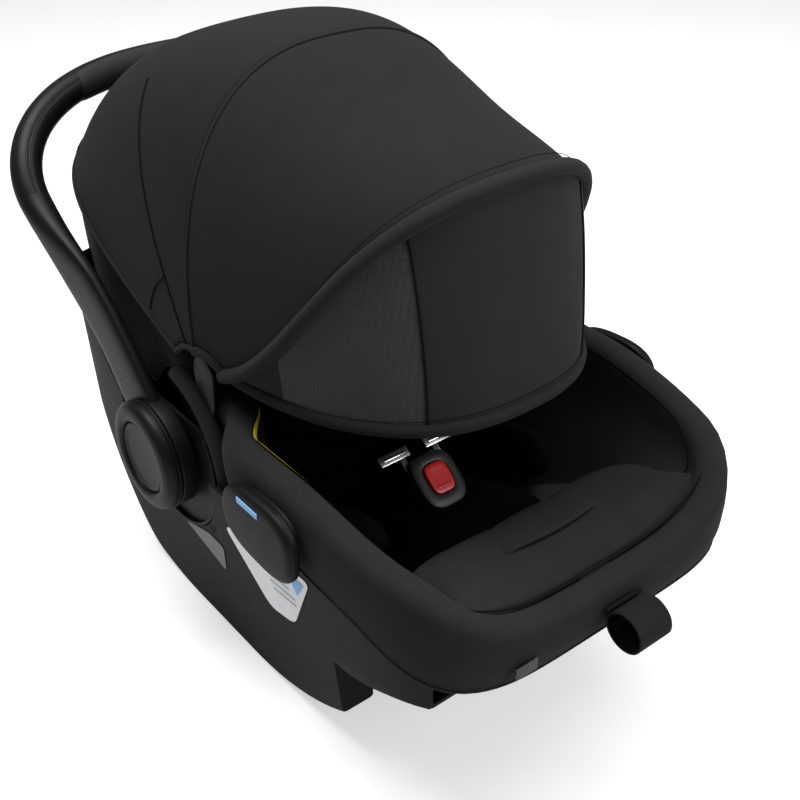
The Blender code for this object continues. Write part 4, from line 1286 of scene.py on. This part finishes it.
def make_harness(mats):
    for name, side in SIDES:
        shoulder = spline(
            (
                (side * 0.046, 0.168, 0.286),
                (side * 0.048, 0.105, 0.230),
                (side * 0.048, 0.035, 0.204),
                (side * 0.044, -0.030, 0.220),
                (side * 0.036, -0.062, 0.238),
            )
        )
        flat = (-1.0, 0.0, 0.0)
        bm = band(shoulder, 0.030, 0.0016, flat)
        nodes = ["shoulder_strap_" + name]
        piece("shoulder_web_" + name, bm, mats["strap"], "seat_shell", nodes)
        bm = band(lambda v: shoulder(0.06 + 0.46 * v), 0.050, 0.007, flat, 40, 0.0028, 0.0030)
        obj = piece(
            "shoulder_cover_" + name,
            bm,
            mats["insert"],
            "seat_shell",
            ["shoulder_pad_" + name],
            70.0,
        )
        hip = spline(
            (
                (side * 0.104, -0.036, 0.176),
                (side * 0.083, -0.054, 0.196),
                (side * 0.062, -0.066, 0.216),
            )
        )
        bm = band(hip, 0.030, 0.0016, (0.0, 1.0, 0.35), 24)
        piece("hip_web_" + name, bm, mats["strap"], "seat_shell", ["hip_strap_" + name])
    crotch = spline(((0.0, -0.158, 0.178), (0.0, -0.150, 0.188), (0.0, -0.140, 0.196)))
    bm = band(crotch, WEB_WIDTH, 0.0018, (-1.0, 0.0, 0.0), 24)
    piece("crotch_web", bm, mats["strap"], "seat_shell", ["crotch_strap"])


def make_buckle(mats):
    def pill(half_x, half_y, stages, power):
        def shape(u, v):
            spread, rise = stages[round(v * (len(stages) - 1))]
            a, b = oval(u, half_x * spread, half_y * spread, power)
            return BUCKLE + Vector((a, b * (1.0 - 0.06 * b / half_y), rise))

        return close_up(sheet(56, len(stages) - 1, shape))

    stages = [(0.0, -0.010), (0.90, -0.010), (0.97, -0.0085), (1.0, -0.005), (1.0, 0.003)]
    stages += [(0.985, 0.0065), (0.94, 0.0090), (0.86, 0.0100), (0.62, 0.0102), (0.57, 0.0098)]
    stages += [(0.56, 0.0024), (0.0, 0.0024)]
    body = tilt(pill(0.0265, 0.0300, stages, 0.62), BUCKLE_TILT_DEG, BUCKLE)
    piece("buckle_case", body, mats["buckle"], "seat_shell", ["buckle_body"], 30.0)
    stages = [(0.0, 0.0062), (0.98, 0.0062), (1.0, 0.0075), (1.0, 0.0105), (0.96, 0.0116)]
    stages += [(0.88, 0.0120), (0.6, 0.0117), (0.0, 0.0114)]
    button = pill(0.0136, 0.0160, stages, 0.52)
    bar = box((-0.0092, -0.0112, 0.0112), (0.0092, -0.0092, 0.0126), 0.0006)
    bmesh.ops.translate(bar, verts=bar.verts, vec=BUCKLE)
    button = tilt(join(button, bar), BUCKLE_TILT_DEG, BUCKLE)
    piece("press_button", button, mats["red"], "buckle_button", ["buckle_button"], 30.0)
    for name, side in SIDES:
        low_x, high_x = span(side, 0.0172, 0.0240)
        blade = box((low_x, 0.0125, -0.0011), (high_x, 0.0350, 0.0011), 0.0005)
        low_x, high_x = span(side, 0.0100, 0.0460)
        head = box((low_x, 0.0325, -0.0013), (high_x, 0.0440, 0.0013), 0.0009)
        loop = box((low_x + 0.004, 0.0360, -0.0024), (high_x - 0.004, 0.0400, 0.0024), 0.0012)
        bm = join(blade, head, loop)
        bmesh.ops.translate(bm, verts=bm.verts, vec=BUCKLE)
        piece(
            "latch_tongue_" + name,
            tilt(bm, BUCKLE_TILT_DEG, BUCKLE),
            mats["chrome"],
            "tongue_" + name,
            ["tongue_" + name],
        )
    stages = [(0.0, -0.0210), (0.85, -0.0210), (0.97, -0.0190), (1.0, -0.0160), (0.97, -0.0128)]
    stages += [(0.85, -0.0112), (0.0, -0.0106)]
    pad = tilt(pill(0.033, 0.043, stages, 0.6), BUCKLE_TILT_DEG, BUCKLE)
    obj = piece("crotch_cover", pad, mats["insert"], "seat_shell", ["crotch_pad"], 80.0)


def make_adjuster(mats):
    """Loop of webbing that tightens the harness, with its sewn tail inside and painted shade on the
    loop's inner face.
    """
    slope = math.radians(PULL_DEG)
    pull = Vector((0.0, -math.cos(slope), -math.sin(slope)))
    out = Vector((0.0, pull.z, -pull.y))

    def ring(v):
        turn = TAU * v
        return (
            PULL_ROOT
            + pull * (PULL_REACH + 0.0180 * math.cos(turn))
            + out * (0.0165 * math.sin(turn))
        )

    half = WEB_WIDTH / 2.0
    thick = 0.0019
    count = 14
    corners = [(-half + 2.0 * half * i / count, 0.0) for i in range(count + 1)]
    corners += [(half - 2.0 * half * i / count, thick) for i in range(count + 1)]

    def shape(u, v):
        turn = TAU * v
        x, rise = corners[round(u * len(corners)) % len(corners)]
        normal = pull * math.cos(turn) + out * math.sin(turn)
        return ring(v) + Vector((x, 0.0, 0.0)) + normal * rise

    bm = sheet(len(corners), 96, shape)
    layer = bm.loops.layers.uv.active
    for face in bm.faces:
        for loop in face.loops:
            u, v = loop[layer].uv
            loop[layer].uv = (u * WEB_WIDTH * 2.0, v * 0.112)
    bmesh.ops.remove_doubles(bm, verts=bm.verts, dist=1e-5)
    bmesh.ops.recalc_face_normals(bm, faces=bm.faces)
    # Faces that turn in towards the loop's middle take the near-black harness webbing: painted
    # shade inside the loop.
    middle = PULL_ROOT + pull * PULL_REACH
    for face in bm.faces:
        if face.normal.dot(face.calc_center_median() - middle) < 0.0:
            face.material_index = 1
    nodes = ["adjuster_strap"]
    looks = [mats["webbing"], mats["strap"]]
    obj = piece("adjuster_loop", bm, looks, "adjuster_strap", nodes)
    inner = spline(
        (
            PULL_ROOT + pull * 0.0062 - out * 0.003,
            PULL_ROOT + pull * 0.0150 - out * 0.0105,
            PULL_ROOT + pull * 0.0300 - out * 0.0118,
            PULL_ROOT + pull * 0.0385 - out * 0.0040,
        )
    )
    tail = band(inner, WEB_WIDTH * 0.96, 0.0016, (1.0, 0.0, 0.0), 24)
    piece("adjuster_tail", tail, mats["strap"], "adjuster_strap")
    inlet = spline((PULL_ROOT + pull * 0.004, PULL_ROOT - pull * 0.018, PULL_ROOT - pull * 0.040))
    root = band(inlet, WEB_WIDTH * 0.96, 0.0030, (1.0, 0.0, 0.0), 16)
    piece("adjuster_inlet", root, mats["webbing"], "adjuster_strap")
    # A near-black block in the thread colour stands for the slot where the strap goes in: painted
    # shade in the opening.
    slot = tilt(box((-0.022, -0.3705, 0.2240), (0.022, -0.3665, 0.2285), 0.0012), 8.0, PULL_ROOT)
    piece("strap_slot_painted_shade", slot, mats["thread"], "seat_shell")


# ---------------------------------------------------------------- handle


def handle_frame():
    """The way the arms point at rest, and the way square to it."""
    rest = math.radians(HANDLE_REST_DEG)
    along = Vector((0.0, math.cos(rest), math.sin(rest)))
    across = Vector((0.0, -math.sin(rest), math.cos(rest)))
    return along, across


def make_arm(name, side, mats):
    along, across = handle_frame()
    half_thick = (ARM_OUTER_X - ARM_INNER_X) / 2.0

    def shape(u, v):
        reach = 0.004 + (ARM_REACH - 0.004) * v
        slim = smooth(reach, 0.175, ARM_REACH)
        half_a = 0.034 - 0.002 * smooth(reach, 0.03, 0.12)
        half_a += (TUBE_RADIUS - half_a) * slim
        half_b = half_thick + (TUBE_RADIUS - half_thick) * slim
        sway = 0.012 * math.sin(math.pi * (reach / ARM_REACH) ** 0.75)
        x = ARM_MIDDLE_X + BAR_OUTSET * smooth(reach, 0.120, ARM_REACH)
        a, b = oval(u, half_a, half_b, 0.62 + 0.38 * slim)
        return HUB + Vector((side * (x + b), 0.0, 0.0)) + along * reach + across * (a + sway)

    arm = close_up(sheet(56, 72, shape))
    profile = rounded(
        [
            (side * ARM_INNER_X, 0.034),
            (side * ARM_INNER_X, HUB_RADIUS - 0.0005),
            (side * (ARM_OUTER_X - 0.0004), HUB_RADIUS - 0.0005),
            (side * (ARM_OUTER_X - 0.0004), 0.034),
            (side * ARM_INNER_X, 0.034),
        ],
        0.0016,
        3,
    )
    bm = join(arm, spun(profile, HUB))
    nodes = ["handle_arm_" + name]
    piece("carry_arm_" + name, bm, mats["handle"], "handle", nodes, 35.0)


def bar_point(v):
    """A point of the bar's middle line, from one arm to the other."""
    along, _ = handle_frame()
    turn = math.pi * v
    half = ARM_MIDDLE_X + BAR_OUTSET
    c = math.cos(turn)
    s = math.sin(turn)
    x = -half * math.copysign(abs(c) ** 0.78, c)
    reach = ARM_REACH + (HANDLE_CROWN - ARM_REACH) * abs(s)
    return HUB + Vector((x, 0.0, 0.0)) + along * reach


def bar_frame(v):
    """A point of the bar, with the way outward and the way up there."""
    along, across = handle_frame()
    a = bar_point(max(0.0, v - 0.004))
    b = bar_point(min(1.0, v + 0.004))
    forward = (b - a).normalized()
    if v < 0.001 or v > 0.999:
        forward = along if v < 0.5 else -along
    return bar_point(v), forward.cross(across).normalized(), across


def make_crossbar(mats):
    """The bar, its parting seam, and the soft grip round its middle."""
    along, _ = handle_frame()

    def shape(u, v):
        place, outward, rise = bar_frame(v)
        a, b = oval(u, TUBE_RADIUS, TUBE_RADIUS)
        dent = 0.0008 if abs(u - 0.25) < 0.012 else 0.0
        return place + outward * a + rise * (b - dent)

    bm = close_up(sheet(48, 140, shape))
    piece("carry_bar", bm, mats["handle"], "handle", ["handle_crossbar"], 35.0)

    def seam(v):
        place, outward, rise = bar_frame(0.04 + 0.92 * v)
        return place + rise * (TUBE_RADIUS + 0.0001) + outward * 0.001

    piece("bar_seam", tube(seam, 0.0006, 120, 6), mats["trim"], "handle")
    grip_end = 0.62 * math.pi

    def grip(u, v):
        place, _, rise = bar_frame(0.5 + (v - 0.5) * 0.30)
        ease = 1.0 - (2.0 * v - 1.0) ** 10
        outer = TUBE_RADIUS + 0.0006 + 0.0022 * ease
        inner = TUBE_RADIUS + 0.0002
        half = 20
        index = round(u * 2 * (half + 1)) % (2 * (half + 1))
        if index <= half:
            angle = -grip_end + 2.0 * grip_end * index / half
            radius = outer
        else:
            angle = grip_end - 2.0 * grip_end * (index - half - 1) / half
            radius = inner
        return place - along * (radius * math.cos(angle)) + rise * (radius * math.sin(angle))

    bm = close_up(sheet(42, 60, grip))
    piece("soft_grip", bm, mats["grip"], "handle", ["handle_grip"], 35.0)


def make_hub(name, side, mats):
    """Hub cap with a parting line, and the round button set into it."""
    base = CAP_BASE_X
    face = CAP_FACE_X
    ring = rounded(
        [
            (side * base, BUTTON_RADIUS + 0.0008),
            (side * base, HUB_RADIUS),
            (side * (base + 0.0030), HUB_RADIUS),
            (side * (base + 0.0034), HUB_RADIUS - 0.0010),
            (side * (base + 0.0040), HUB_RADIUS - 0.0010),
            (side * (base + 0.0044), HUB_RADIUS),
            (side * (base + 0.0100), HUB_RADIUS - 0.0006),
            (side * (face - 0.0018), HUB_RADIUS - 0.0045),
            (side * face, HUB_RADIUS - 0.0110),
            (side * (face - 0.0004), BUTTON_RADIUS + 0.0040),
            (side * (face - 0.0030), BUTTON_RADIUS + 0.0008),
            (side * base, BUTTON_RADIUS + 0.0008),
        ],
        0.0022,
        4,
    )
    bm = spun(ring, HUB, 128)
    piece("hub_ring_" + name, bm, mats["handle"], "handle", ["hub_cap_" + name], 30.0)
    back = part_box("handle_button_" + name)
    low = min(abs(back[0].x), abs(back[1].x))
    high = max(abs(back[0].x), abs(back[1].x))
    disc = rounded(
        [
            (side * low, 0.0003),
            (side * low, BUTTON_RADIUS),
            (side * (high - 0.0008), BUTTON_RADIUS),
            (side * high, BUTTON_RADIUS - 0.0030),
            (side * (high - 0.0016), 0.0300),
            (side * (high - 0.0022), 0.0150),
            (side * (high - 0.0024), 0.0003),
        ],
        0.0016,
        4,
    )
    bm = spun(disc, HUB, 128)
    nodes = ["handle_button_" + name]
    body = "handle_button_" + name
    piece("hub_button_" + name, bm, mats["trim"], body, nodes, 30.0)


def make_button_spring(name, mats):
    """Coil under the hub button."""
    low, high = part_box("button_spring_" + name)
    wire = 0.0006
    radius = (high.z - low.z) / 2.0 - wire
    start, end = sorted((low.x, high.x), key=abs)

    def coil(v):
        turn = TAU * 2.5 * v
        x = start + (end - start) * (0.14 + 0.72 * v)
        return Vector((x, HUB.y + radius * math.cos(turn), HUB.z + radius * math.sin(turn)))

    bm = tube(coil, wire, 120, 8)
    nodes = ["button_spring_" + name]
    obj = piece("hub_spring_" + name, bm, mats["steel"], None, nodes)
    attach(obj, "handle")
    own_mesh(obj)


# ---------------------------------------------------------------- canopy


def hoop_point(hoop, v, sag=1.0):
    """A point of a canopy hoop given as (degrees, reach, half width, droop, power)."""
    degrees, reach, half, droop, power = hoop
    c = math.cos(math.pi * v)
    s = math.sin(math.pi * v)
    size = (abs(c) ** power + abs(s) ** power) ** (1.0 / power)
    x = -half * c / size
    spread = abs(s) / size
    r = reach * spread * sag
    angle = math.radians(degrees - droop * (1.0 - spread) ** 2)
    return Vector((x, PIVOT.y - r * math.cos(angle), PIVOT.z + r * math.sin(angle)))


def between(first, second, t):
    return tuple(a + (b - a) * t for a, b in zip(first, second))


def cloth_point(first, second, dip, u, t):
    """Fabric stretched between two hoops: it dips most in the middle of the span."""
    crown = math.sin(math.pi * u) ** 0.7
    fold = 0.0016 * math.sin(9.0 * math.pi * u + 4.0 * t) * math.sin(math.pi * t)
    sag = 1.0 - dip * math.sin(math.pi * t) * crown - fold
    return hoop_point(between(first, second, t), 0.030 + 0.940 * u, sag)


def plane_way(hoop):
    """The direction square to a hoop's plane, towards the rear."""
    angle = math.radians(hoop[0])
    return Vector((0.0, math.sin(angle), math.cos(angle)))


def make_panel(name, node, first, second, dip, mats, window=False):
    """One panel of the canopy: a single layer of cloth between two hoops."""
    bm = face_out(sheet(96, 36, lambda u, t: cloth_point(first, second, dip, u, t)), PIVOT)
    if window:
        layer = bm.loops.layers.uv.active
        for face in bm.faces:
            u = sum(loop[layer].uv.x for loop in face.loops) / len(face.loops)
            if 0.10 < min(u, 1.0 - u) < VISOR_SEAM:
                face.material_index = 1
    # The visor panel takes the lighter copy of the canopy cloth, which is painted light.
    cloths = [mats["visor"], mats["window"]] if window else [mats["canopy"]]
    obj = piece(name, bm, cloths, None, [node], 80.0)
    solidify(obj, 0.0022)
    blend_between(obj, first, second)
    return obj


def hoop_tube(hoop, radius, low=0.03, high=0.97, steps=120, squash=1.0, out=0.0):
    def path(v):
        point = hoop_point(hoop, low + (high - low) * v)
        away = (point - PIVOT).normalized()
        return point + away * out

    return tube(path, radius, steps, 14, squash)


def make_canopy(mats):
    make_panel(
        "canopy_rear_cloth",
        "canopy_rear_panel",
        REAR_EDGE,
        REAR_HOOP,
        REAR_DIP,
        mats,
    )
    make_panel(
        "canopy_top_cloth",
        "canopy_front_panel",
        REAR_HOOP,
        FRONT_HOOP,
        TOP_DIP,
        mats,
    )
    make_panel(
        "canopy_visor_cloth",
        "visor_panel",
        FRONT_HOOP,
        VISOR_HOOP,
        VISOR_DIP,
        mats,
        window=True,
    )
    piping = hoop_tube(REAR_HOOP, 0.0017, out=0.0004)
    piece("crown_piping", piping, mats["binding"], "canopy_rear", (), 80.0)
    roll = hoop_tube(FRONT_HOOP, 0.0085, squash=0.85, out=0.0018)
    piece("front_binding", roll, mats["binding"], "canopy_front", (), 80.0)
    hem = hoop_tube(VISOR_HOOP, 0.0052, squash=1.25, out=0.0006)
    piece("visor_hem", hem, mats["binding"], "visor", (), 80.0)
    edge = hoop_tube(REAR_EDGE, 0.0024, steps=240)
    piece("rear_hem", edge, mats["binding"], "seat_shell", (), 80.0)
    make_canopy_stitching(mats)
    make_cloth_seams(mats)
    for name, hoop, body in (
        ("canopy_rear_bow", REAR_HOOP, "canopy_rear"),
        ("canopy_front_bow", FRONT_HOOP, "canopy_front"),
        ("visor_bow", VISOR_HOOP, "visor"),
    ):
        make_bow(name, hoop, body, mats)
    for name, side in SIDES:
        make_canopy_mount(name, side, mats)


def make_bow(node, hoop, body, mats):
    """Sprung hoop under the cloth, with its eyes on the pivots."""
    inner = (hoop[0], hoop[1] - 0.005, hoop[2] - 0.0085, *hoop[3:])
    bm = hoop_tube(inner, 0.0028, 0.004, 0.996, 120)
    eyes = []
    for side in (-1, 1):
        x = side * inner[2]
        profile = [(x - 0.0018, 0.0036), (x - 0.0018, 0.0125), (x + 0.0018, 0.0125)]
        profile += [(x + 0.0018, 0.0036), (x - 0.0018, 0.0036)]
        eyes.append(spun(profile, PIVOT, 32))
    piece(node + "_wire", join(bm, *eyes), mats["trim"], body, [node], 40.0)


def make_canopy_stitching(mats):
    """Thread lines beside the crown seam, the front binding and the visor's hem."""
    for name, hoop, body, shift, grow, count in (
        ("crown_stitch_rear", REAR_HOOP, "canopy_rear", 1.4, 1.002, 210),
        ("front_stitch", FRONT_HOOP, "canopy_front", 2.7, 0.997, 210),
        ("visor_stitch", VISOR_HOOP, "visor", 2.4, 1.004, 200),
    ):
        line = (hoop[0] + shift, hoop[1] * grow, hoop[2], *hoop[3:])
        bm = stitches(lambda v, line=line: hoop_point(line, v), count, 0.05, 0.95)
        for vert in bm.verts:
            vert.co += (vert.co - PIVOT).normalized() * 0.0006
        piece(name, bm, mats["thread"], body)


def blend_between(obj, first, second):
    """Bakes the piece's placement into its mesh; the point between the two hoops is worked out but
    not used.
    """
    way = plane_way(first)
    wide = max(first[1], second[1])
    gap = wide * math.sin(math.radians(abs(first[0] - second[0])))
    end = PIVOT - way * min(gap, wide) * 0.92
    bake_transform(obj)


def make_cloth_seams(mats):
    """Sewn seams on the panels, and the bound edges by the pivots."""

    def on_cloth(first, second, dip, u, t):
        point = cloth_point(first, second, dip, u, t)
        return point + (point - PIVOT).normalized() * 0.0005

    rear = (REAR_EDGE, REAR_HOOP, REAR_DIP)
    top = (REAR_HOOP, FRONT_HOOP, TOP_DIP)
    visor = (FRONT_HOOP, VISOR_HOOP, VISOR_DIP)
    for name, side in SIDES:
        seam_u = VISOR_SEAM if side < 0 else 1.0 - VISOR_SEAM
        low_u = 0.0 if side < 0 else 1.0
        step = -side
        lines = (
            ("visor_seam_", visor, 0.0011, "canopy_front", "visor", "thread",
             lambda v, u=seam_u: (u, 0.04 + 0.92 * v)),
            ("side_hem_", top, 0.0050, "canopy_rear", "canopy_front", "binding",
             lambda v, u=low_u: (u, v)),
            ("rear_side_hem_", rear, 0.0030, "seat_shell", "canopy_rear", "binding",
             lambda v, u=low_u: (u, v)),
            ("rear_seam_", rear, 0.0010, "seat_shell", "canopy_rear", "thread",
             lambda v, u=low_u, step=step: (u + step * 0.27 * v, 0.66 - 0.05 * v)),
            ("rear_cross_seam_", rear, 0.0010, "seat_shell", "canopy_rear", "thread",
             lambda v, u=low_u, step=step: (u + step * (0.05 + 0.02 * v), 0.10 + 0.52 * v)),
        )
        for label, cloth, radius, back, front, look, where in lines:
            bm = tube(lambda v: on_cloth(*cloth, *where(v)), radius, 60, 7)
            obj = piece(label + name, bm, mats[look], None, (), 80.0)
            blend_between(obj, cloth[0], cloth[1])


def make_canopy_mount(name, side, mats):
    """Bracket on the shell that carries the canopy's pivot pin."""
    low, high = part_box("canopy_mount_" + name)
    inner = min(abs(low.x), abs(high.x))
    outer = max(abs(low.x), abs(high.x))
    eye = 0.0172
    stages = ((0.0, 0.0), (0.0, 0.94), (0.0006, 1.0), (0.0032, 1.0))
    stages += ((0.0040, 0.92), (0.0040, 0.0))

    def shape(u, v):
        rise, spread = stages[round(v * (len(stages) - 1))]
        turn = TAU * u
        y = eye * spread * math.cos(turn)
        z = eye * spread * math.sin(turn)
        if z < 0.0:
            y = math.copysign(abs(y) ** 0.6 * eye ** 0.4, y) * 0.96
            z *= 2.75
        return Vector((side * (outer - 0.0042 + rise), PIVOT.y + y, PIVOT.z + z))

    plate = close_up(sheet(48, len(stages) - 1, shape))
    start = (side * inner, PIVOT.y, PIVOT.z)
    end = (side * (outer - 0.001), PIVOT.y, PIVOT.z)
    bm = join(plate, rod(start, end, 0.003, 24))
    nodes = ["canopy_mount_" + name]
    piece("canopy_bracket_" + name, bm, mats["trim"], "seat_shell", nodes, 35.0)


# ---------------------------------------------------------------- labels and tags


def on_flank(points, side, lift, spacing=0.012):
    """A thin film with the given (y, z) outline, laid on the side panel."""
    bm = bmesh.new()
    verts = [bm.verts.new((0.0, y, z)) for y, z in points]
    bm.faces.new(verts)
    ys = [p[0] for p in points]
    zs = [p[1] for p in points]
    for axis, low, high in ((1, min(ys), max(ys)), (2, min(zs), max(zs))):
        normal = Vector((0.0, 0.0, 0.0))
        normal[axis] = 1.0
        steps = int((high - low) / spacing)
        for i in range(1, steps + 1):
            place = Vector((0.0, 0.0, 0.0))
            place[axis] = low + (high - low) * i / (steps + 1)
            geom = list(bm.verts) + list(bm.edges) + list(bm.faces)
            bmesh.ops.bisect_plane(bm, geom=geom, plane_co=place, plane_no=normal)
    for vert in bm.verts:
        vert.co.x = side * (flank_x(vert.co.y, vert.co.z) + lift)
    return face_out(bm, Vector((0.0, 0.0, 0.15)))


def rounded_outline(points, radius=0.013, steps=6):
    """Rounds every corner of a closed (y, z) outline."""
    loop = [points[-1]] + list(points) + [points[0]]
    path = rounded(loop, radius, steps)
    return [tuple(p) for p in path[1:-1]]


def make_labels(mats):
    """Blank films on the side panels and a strip on the padded rim."""
    outline = rounded_outline(
        [(-0.036, 0.193), (-0.100, 0.214), (-0.186, 0.224), (-0.142, 0.138), (-0.098, 0.128)]
    )
    for name, side in SIDES:
        film = on_flank(outline, side, 0.0008)
        piece("side_label_" + name, film, mats["white"], "seat_shell")
    bars = []
    for row in range(6):
        z = 0.208 - 0.0085 * row
        start = -0.100 - 0.003 * row
        end = start - 0.042 + 0.004 * (row % 2)
        bars.append([(start, z), (end, z + 0.004), (end, z + 0.0065), (start, z + 0.0025)])
    print_bars = join(*[on_flank(bar, -1, 0.0011, 0.02) for bar in bars])
    piece("label_bars", print_bars, mats["pale"], "seat_shell")
    corner = [(-0.160, 0.190), (-0.176, 0.214), (-0.148, 0.214)]
    piece("label_corner", on_flank(corner, -1, 0.0012, 0.02), mats["blue"], "seat_shell")
    outline = [(0.060, 0.134), (0.008, 0.152), (-0.020, 0.150), (-0.012, 0.112)]
    film = on_flank(rounded_outline(outline, 0.006), -1, 0.0008)
    piece("lower_label", film, mats["grey"], "seat_shell")

    def strip(u, v):
        place_v = 0.432 + 0.036 * (v - 0.5) * math.sin(math.pi * u) ** 0.8
        turn = 0.528 + 0.066 * u
        return liner_point(turn, place_v) + Vector((0.0014, 0.0, 0.0014))

    bm = face_out(sheet(40, 6, strip), Vector((-0.3, -0.09, 0.28)))
    piece("edge_label", bm, mats["yellow"], "seat_shell")


def make_tags(mats):
    tag = box((-0.0120, -0.0006, -0.010), (0.0120, 0.0006, 0.002), 0.0004, 2)
    bmesh.ops.translate(tag, verts=tag.verts, vec=(-0.110, -0.3672, 0.218))
    piece("front_tag", tag, mats["tag"], "seat_shell")


# ---------------------------------------------------------------- carried-over nodes


def dress_nodes(mats):
    """Materials for the nodes that stay as they are."""
    looks = {
        "latch_bar_front": "steel",
        "latch_bar_rear": "steel",
        "latch_hook": "steel",
        "lock_gear_right": "steel",
        "lock_gear_left": "steel",
        "adjuster_lever": "trim",
        "release_lever": "trim",
    }
    for node, look in looks.items():
        obj = frame["nodes"][node]
        for slot in obj.material_slots:
            slot.material = mats[look]


# ---------------------------------------------------------------- stage


def make_stage():
    bm = bmesh.new()
    bmesh.ops.create_grid(bm, x_segments=2, y_segments=2, size=40.0)
    mesh = bpy.data.meshes.new("studio_floor")
    bm.to_mesh(mesh)
    bm.free()
    floor = bpy.data.objects.new("studio_floor", mesh)
    bpy.context.scene.collection.objects.link(floor)
    mk = Maker("studio_floor")
    mk.set(Base_Color=(0.72, 0.72, 0.72, 1.0))
    mk.set(Roughness=0.90)
    seen = mk.node("ShaderNodeLightPath")
    mk.set(Emission_Color=mk.mix(seen, (0.0, 0.0, 0.0, 1.0), (0.48, 0.48, 0.48, 1.0)))
    mk.set(Emission_Strength=1.0)
    mesh.materials.append(mk.material)

    world = bpy.data.worlds.new("studio")
    bpy.context.scene.world = world
    world.use_nodes = True
    tree = world.node_tree
    back = tree.nodes["Background"]
    back.inputs["Color"].default_value = (1.0, 1.0, 1.0, 1.0)
    path = tree.nodes.new("ShaderNodeLightPath")
    strength = tree.nodes.new("ShaderNodeMapRange")
    strength.inputs["To Min"].default_value = 0.24
    strength.inputs["To Max"].default_value = 1.0
    tree.links.new(path.outputs["Is Camera Ray"], strength.inputs["Value"])
    tree.links.new(strength.outputs["Result"], back.inputs["Strength"])

    for name, place, size, power in (
        ("key", (-0.5, 0.5, 2.4), 1.4, 56.0),
        ("top", (0.6, -0.5, 2.6), 2.0, 38.0),
        ("fill", (1.1, -2.3, 1.5), 1.4, 36.0),
    ):
        data = bpy.data.lights.new(name, "AREA")
        data.shape = "DISK"
        data.size = size
        data.energy = power
        lamp = bpy.data.objects.new(name, data)
        lamp.location = place
        towards = Vector((0.0, 0.0, 0.2)) - Vector(place)
        lamp.rotation_euler = towards.to_track_quat("-Z", "Y").to_euler()
        bpy.context.scene.collection.objects.link(lamp)
    bpy.context.scene.view_settings.view_transform = "Standard"


def make_camera():
    azimuth = math.radians(CAMERA_AZIMUTH_DEG)
    height = math.radians(CAMERA_HEIGHT_DEG)
    back = Vector(
        (
            math.sin(azimuth) * math.cos(height),
            -math.cos(azimuth) * math.cos(height),
            math.sin(height),
        )
    )
    data = bpy.data.cameras.new("camera")
    data.sensor_width = 36.0
    data.lens = CAMERA_LENS
    camera = bpy.data.objects.new("camera", data)
    camera.location = CAMERA_TARGET + back * CAMERA_DISTANCE
    camera.rotation_euler = back.to_track_quat("Z", "Y").to_euler()
    bpy.context.scene.collection.objects.link(camera)
    bpy.context.scene.camera = camera


def main():
    mats = make_materials()
    make_camera()
    make_stage()
    make_bucket(mats)
    make_belly(mats)
    make_liner(mats)
    make_seat(mats)
    make_inner_pads(mats)
    make_headrest(mats)
    make_harness(mats)
    make_buckle(mats)
    make_adjuster(mats)
    for name, side in SIDES:
        make_side_panel(name, side, mats)
        make_recess(name, side, mats)
        make_hub_collar(name, side, mats)
        make_belt_guide(name, side, mats)
        make_arm(name, side, mats)
        make_hub(name, side, mats)
        make_button_spring(name, mats)
    make_crossbar(mats)
    make_canopy(mats)
    make_labels(mats)
    make_tags(mats)
    dress_nodes(mats)


main()
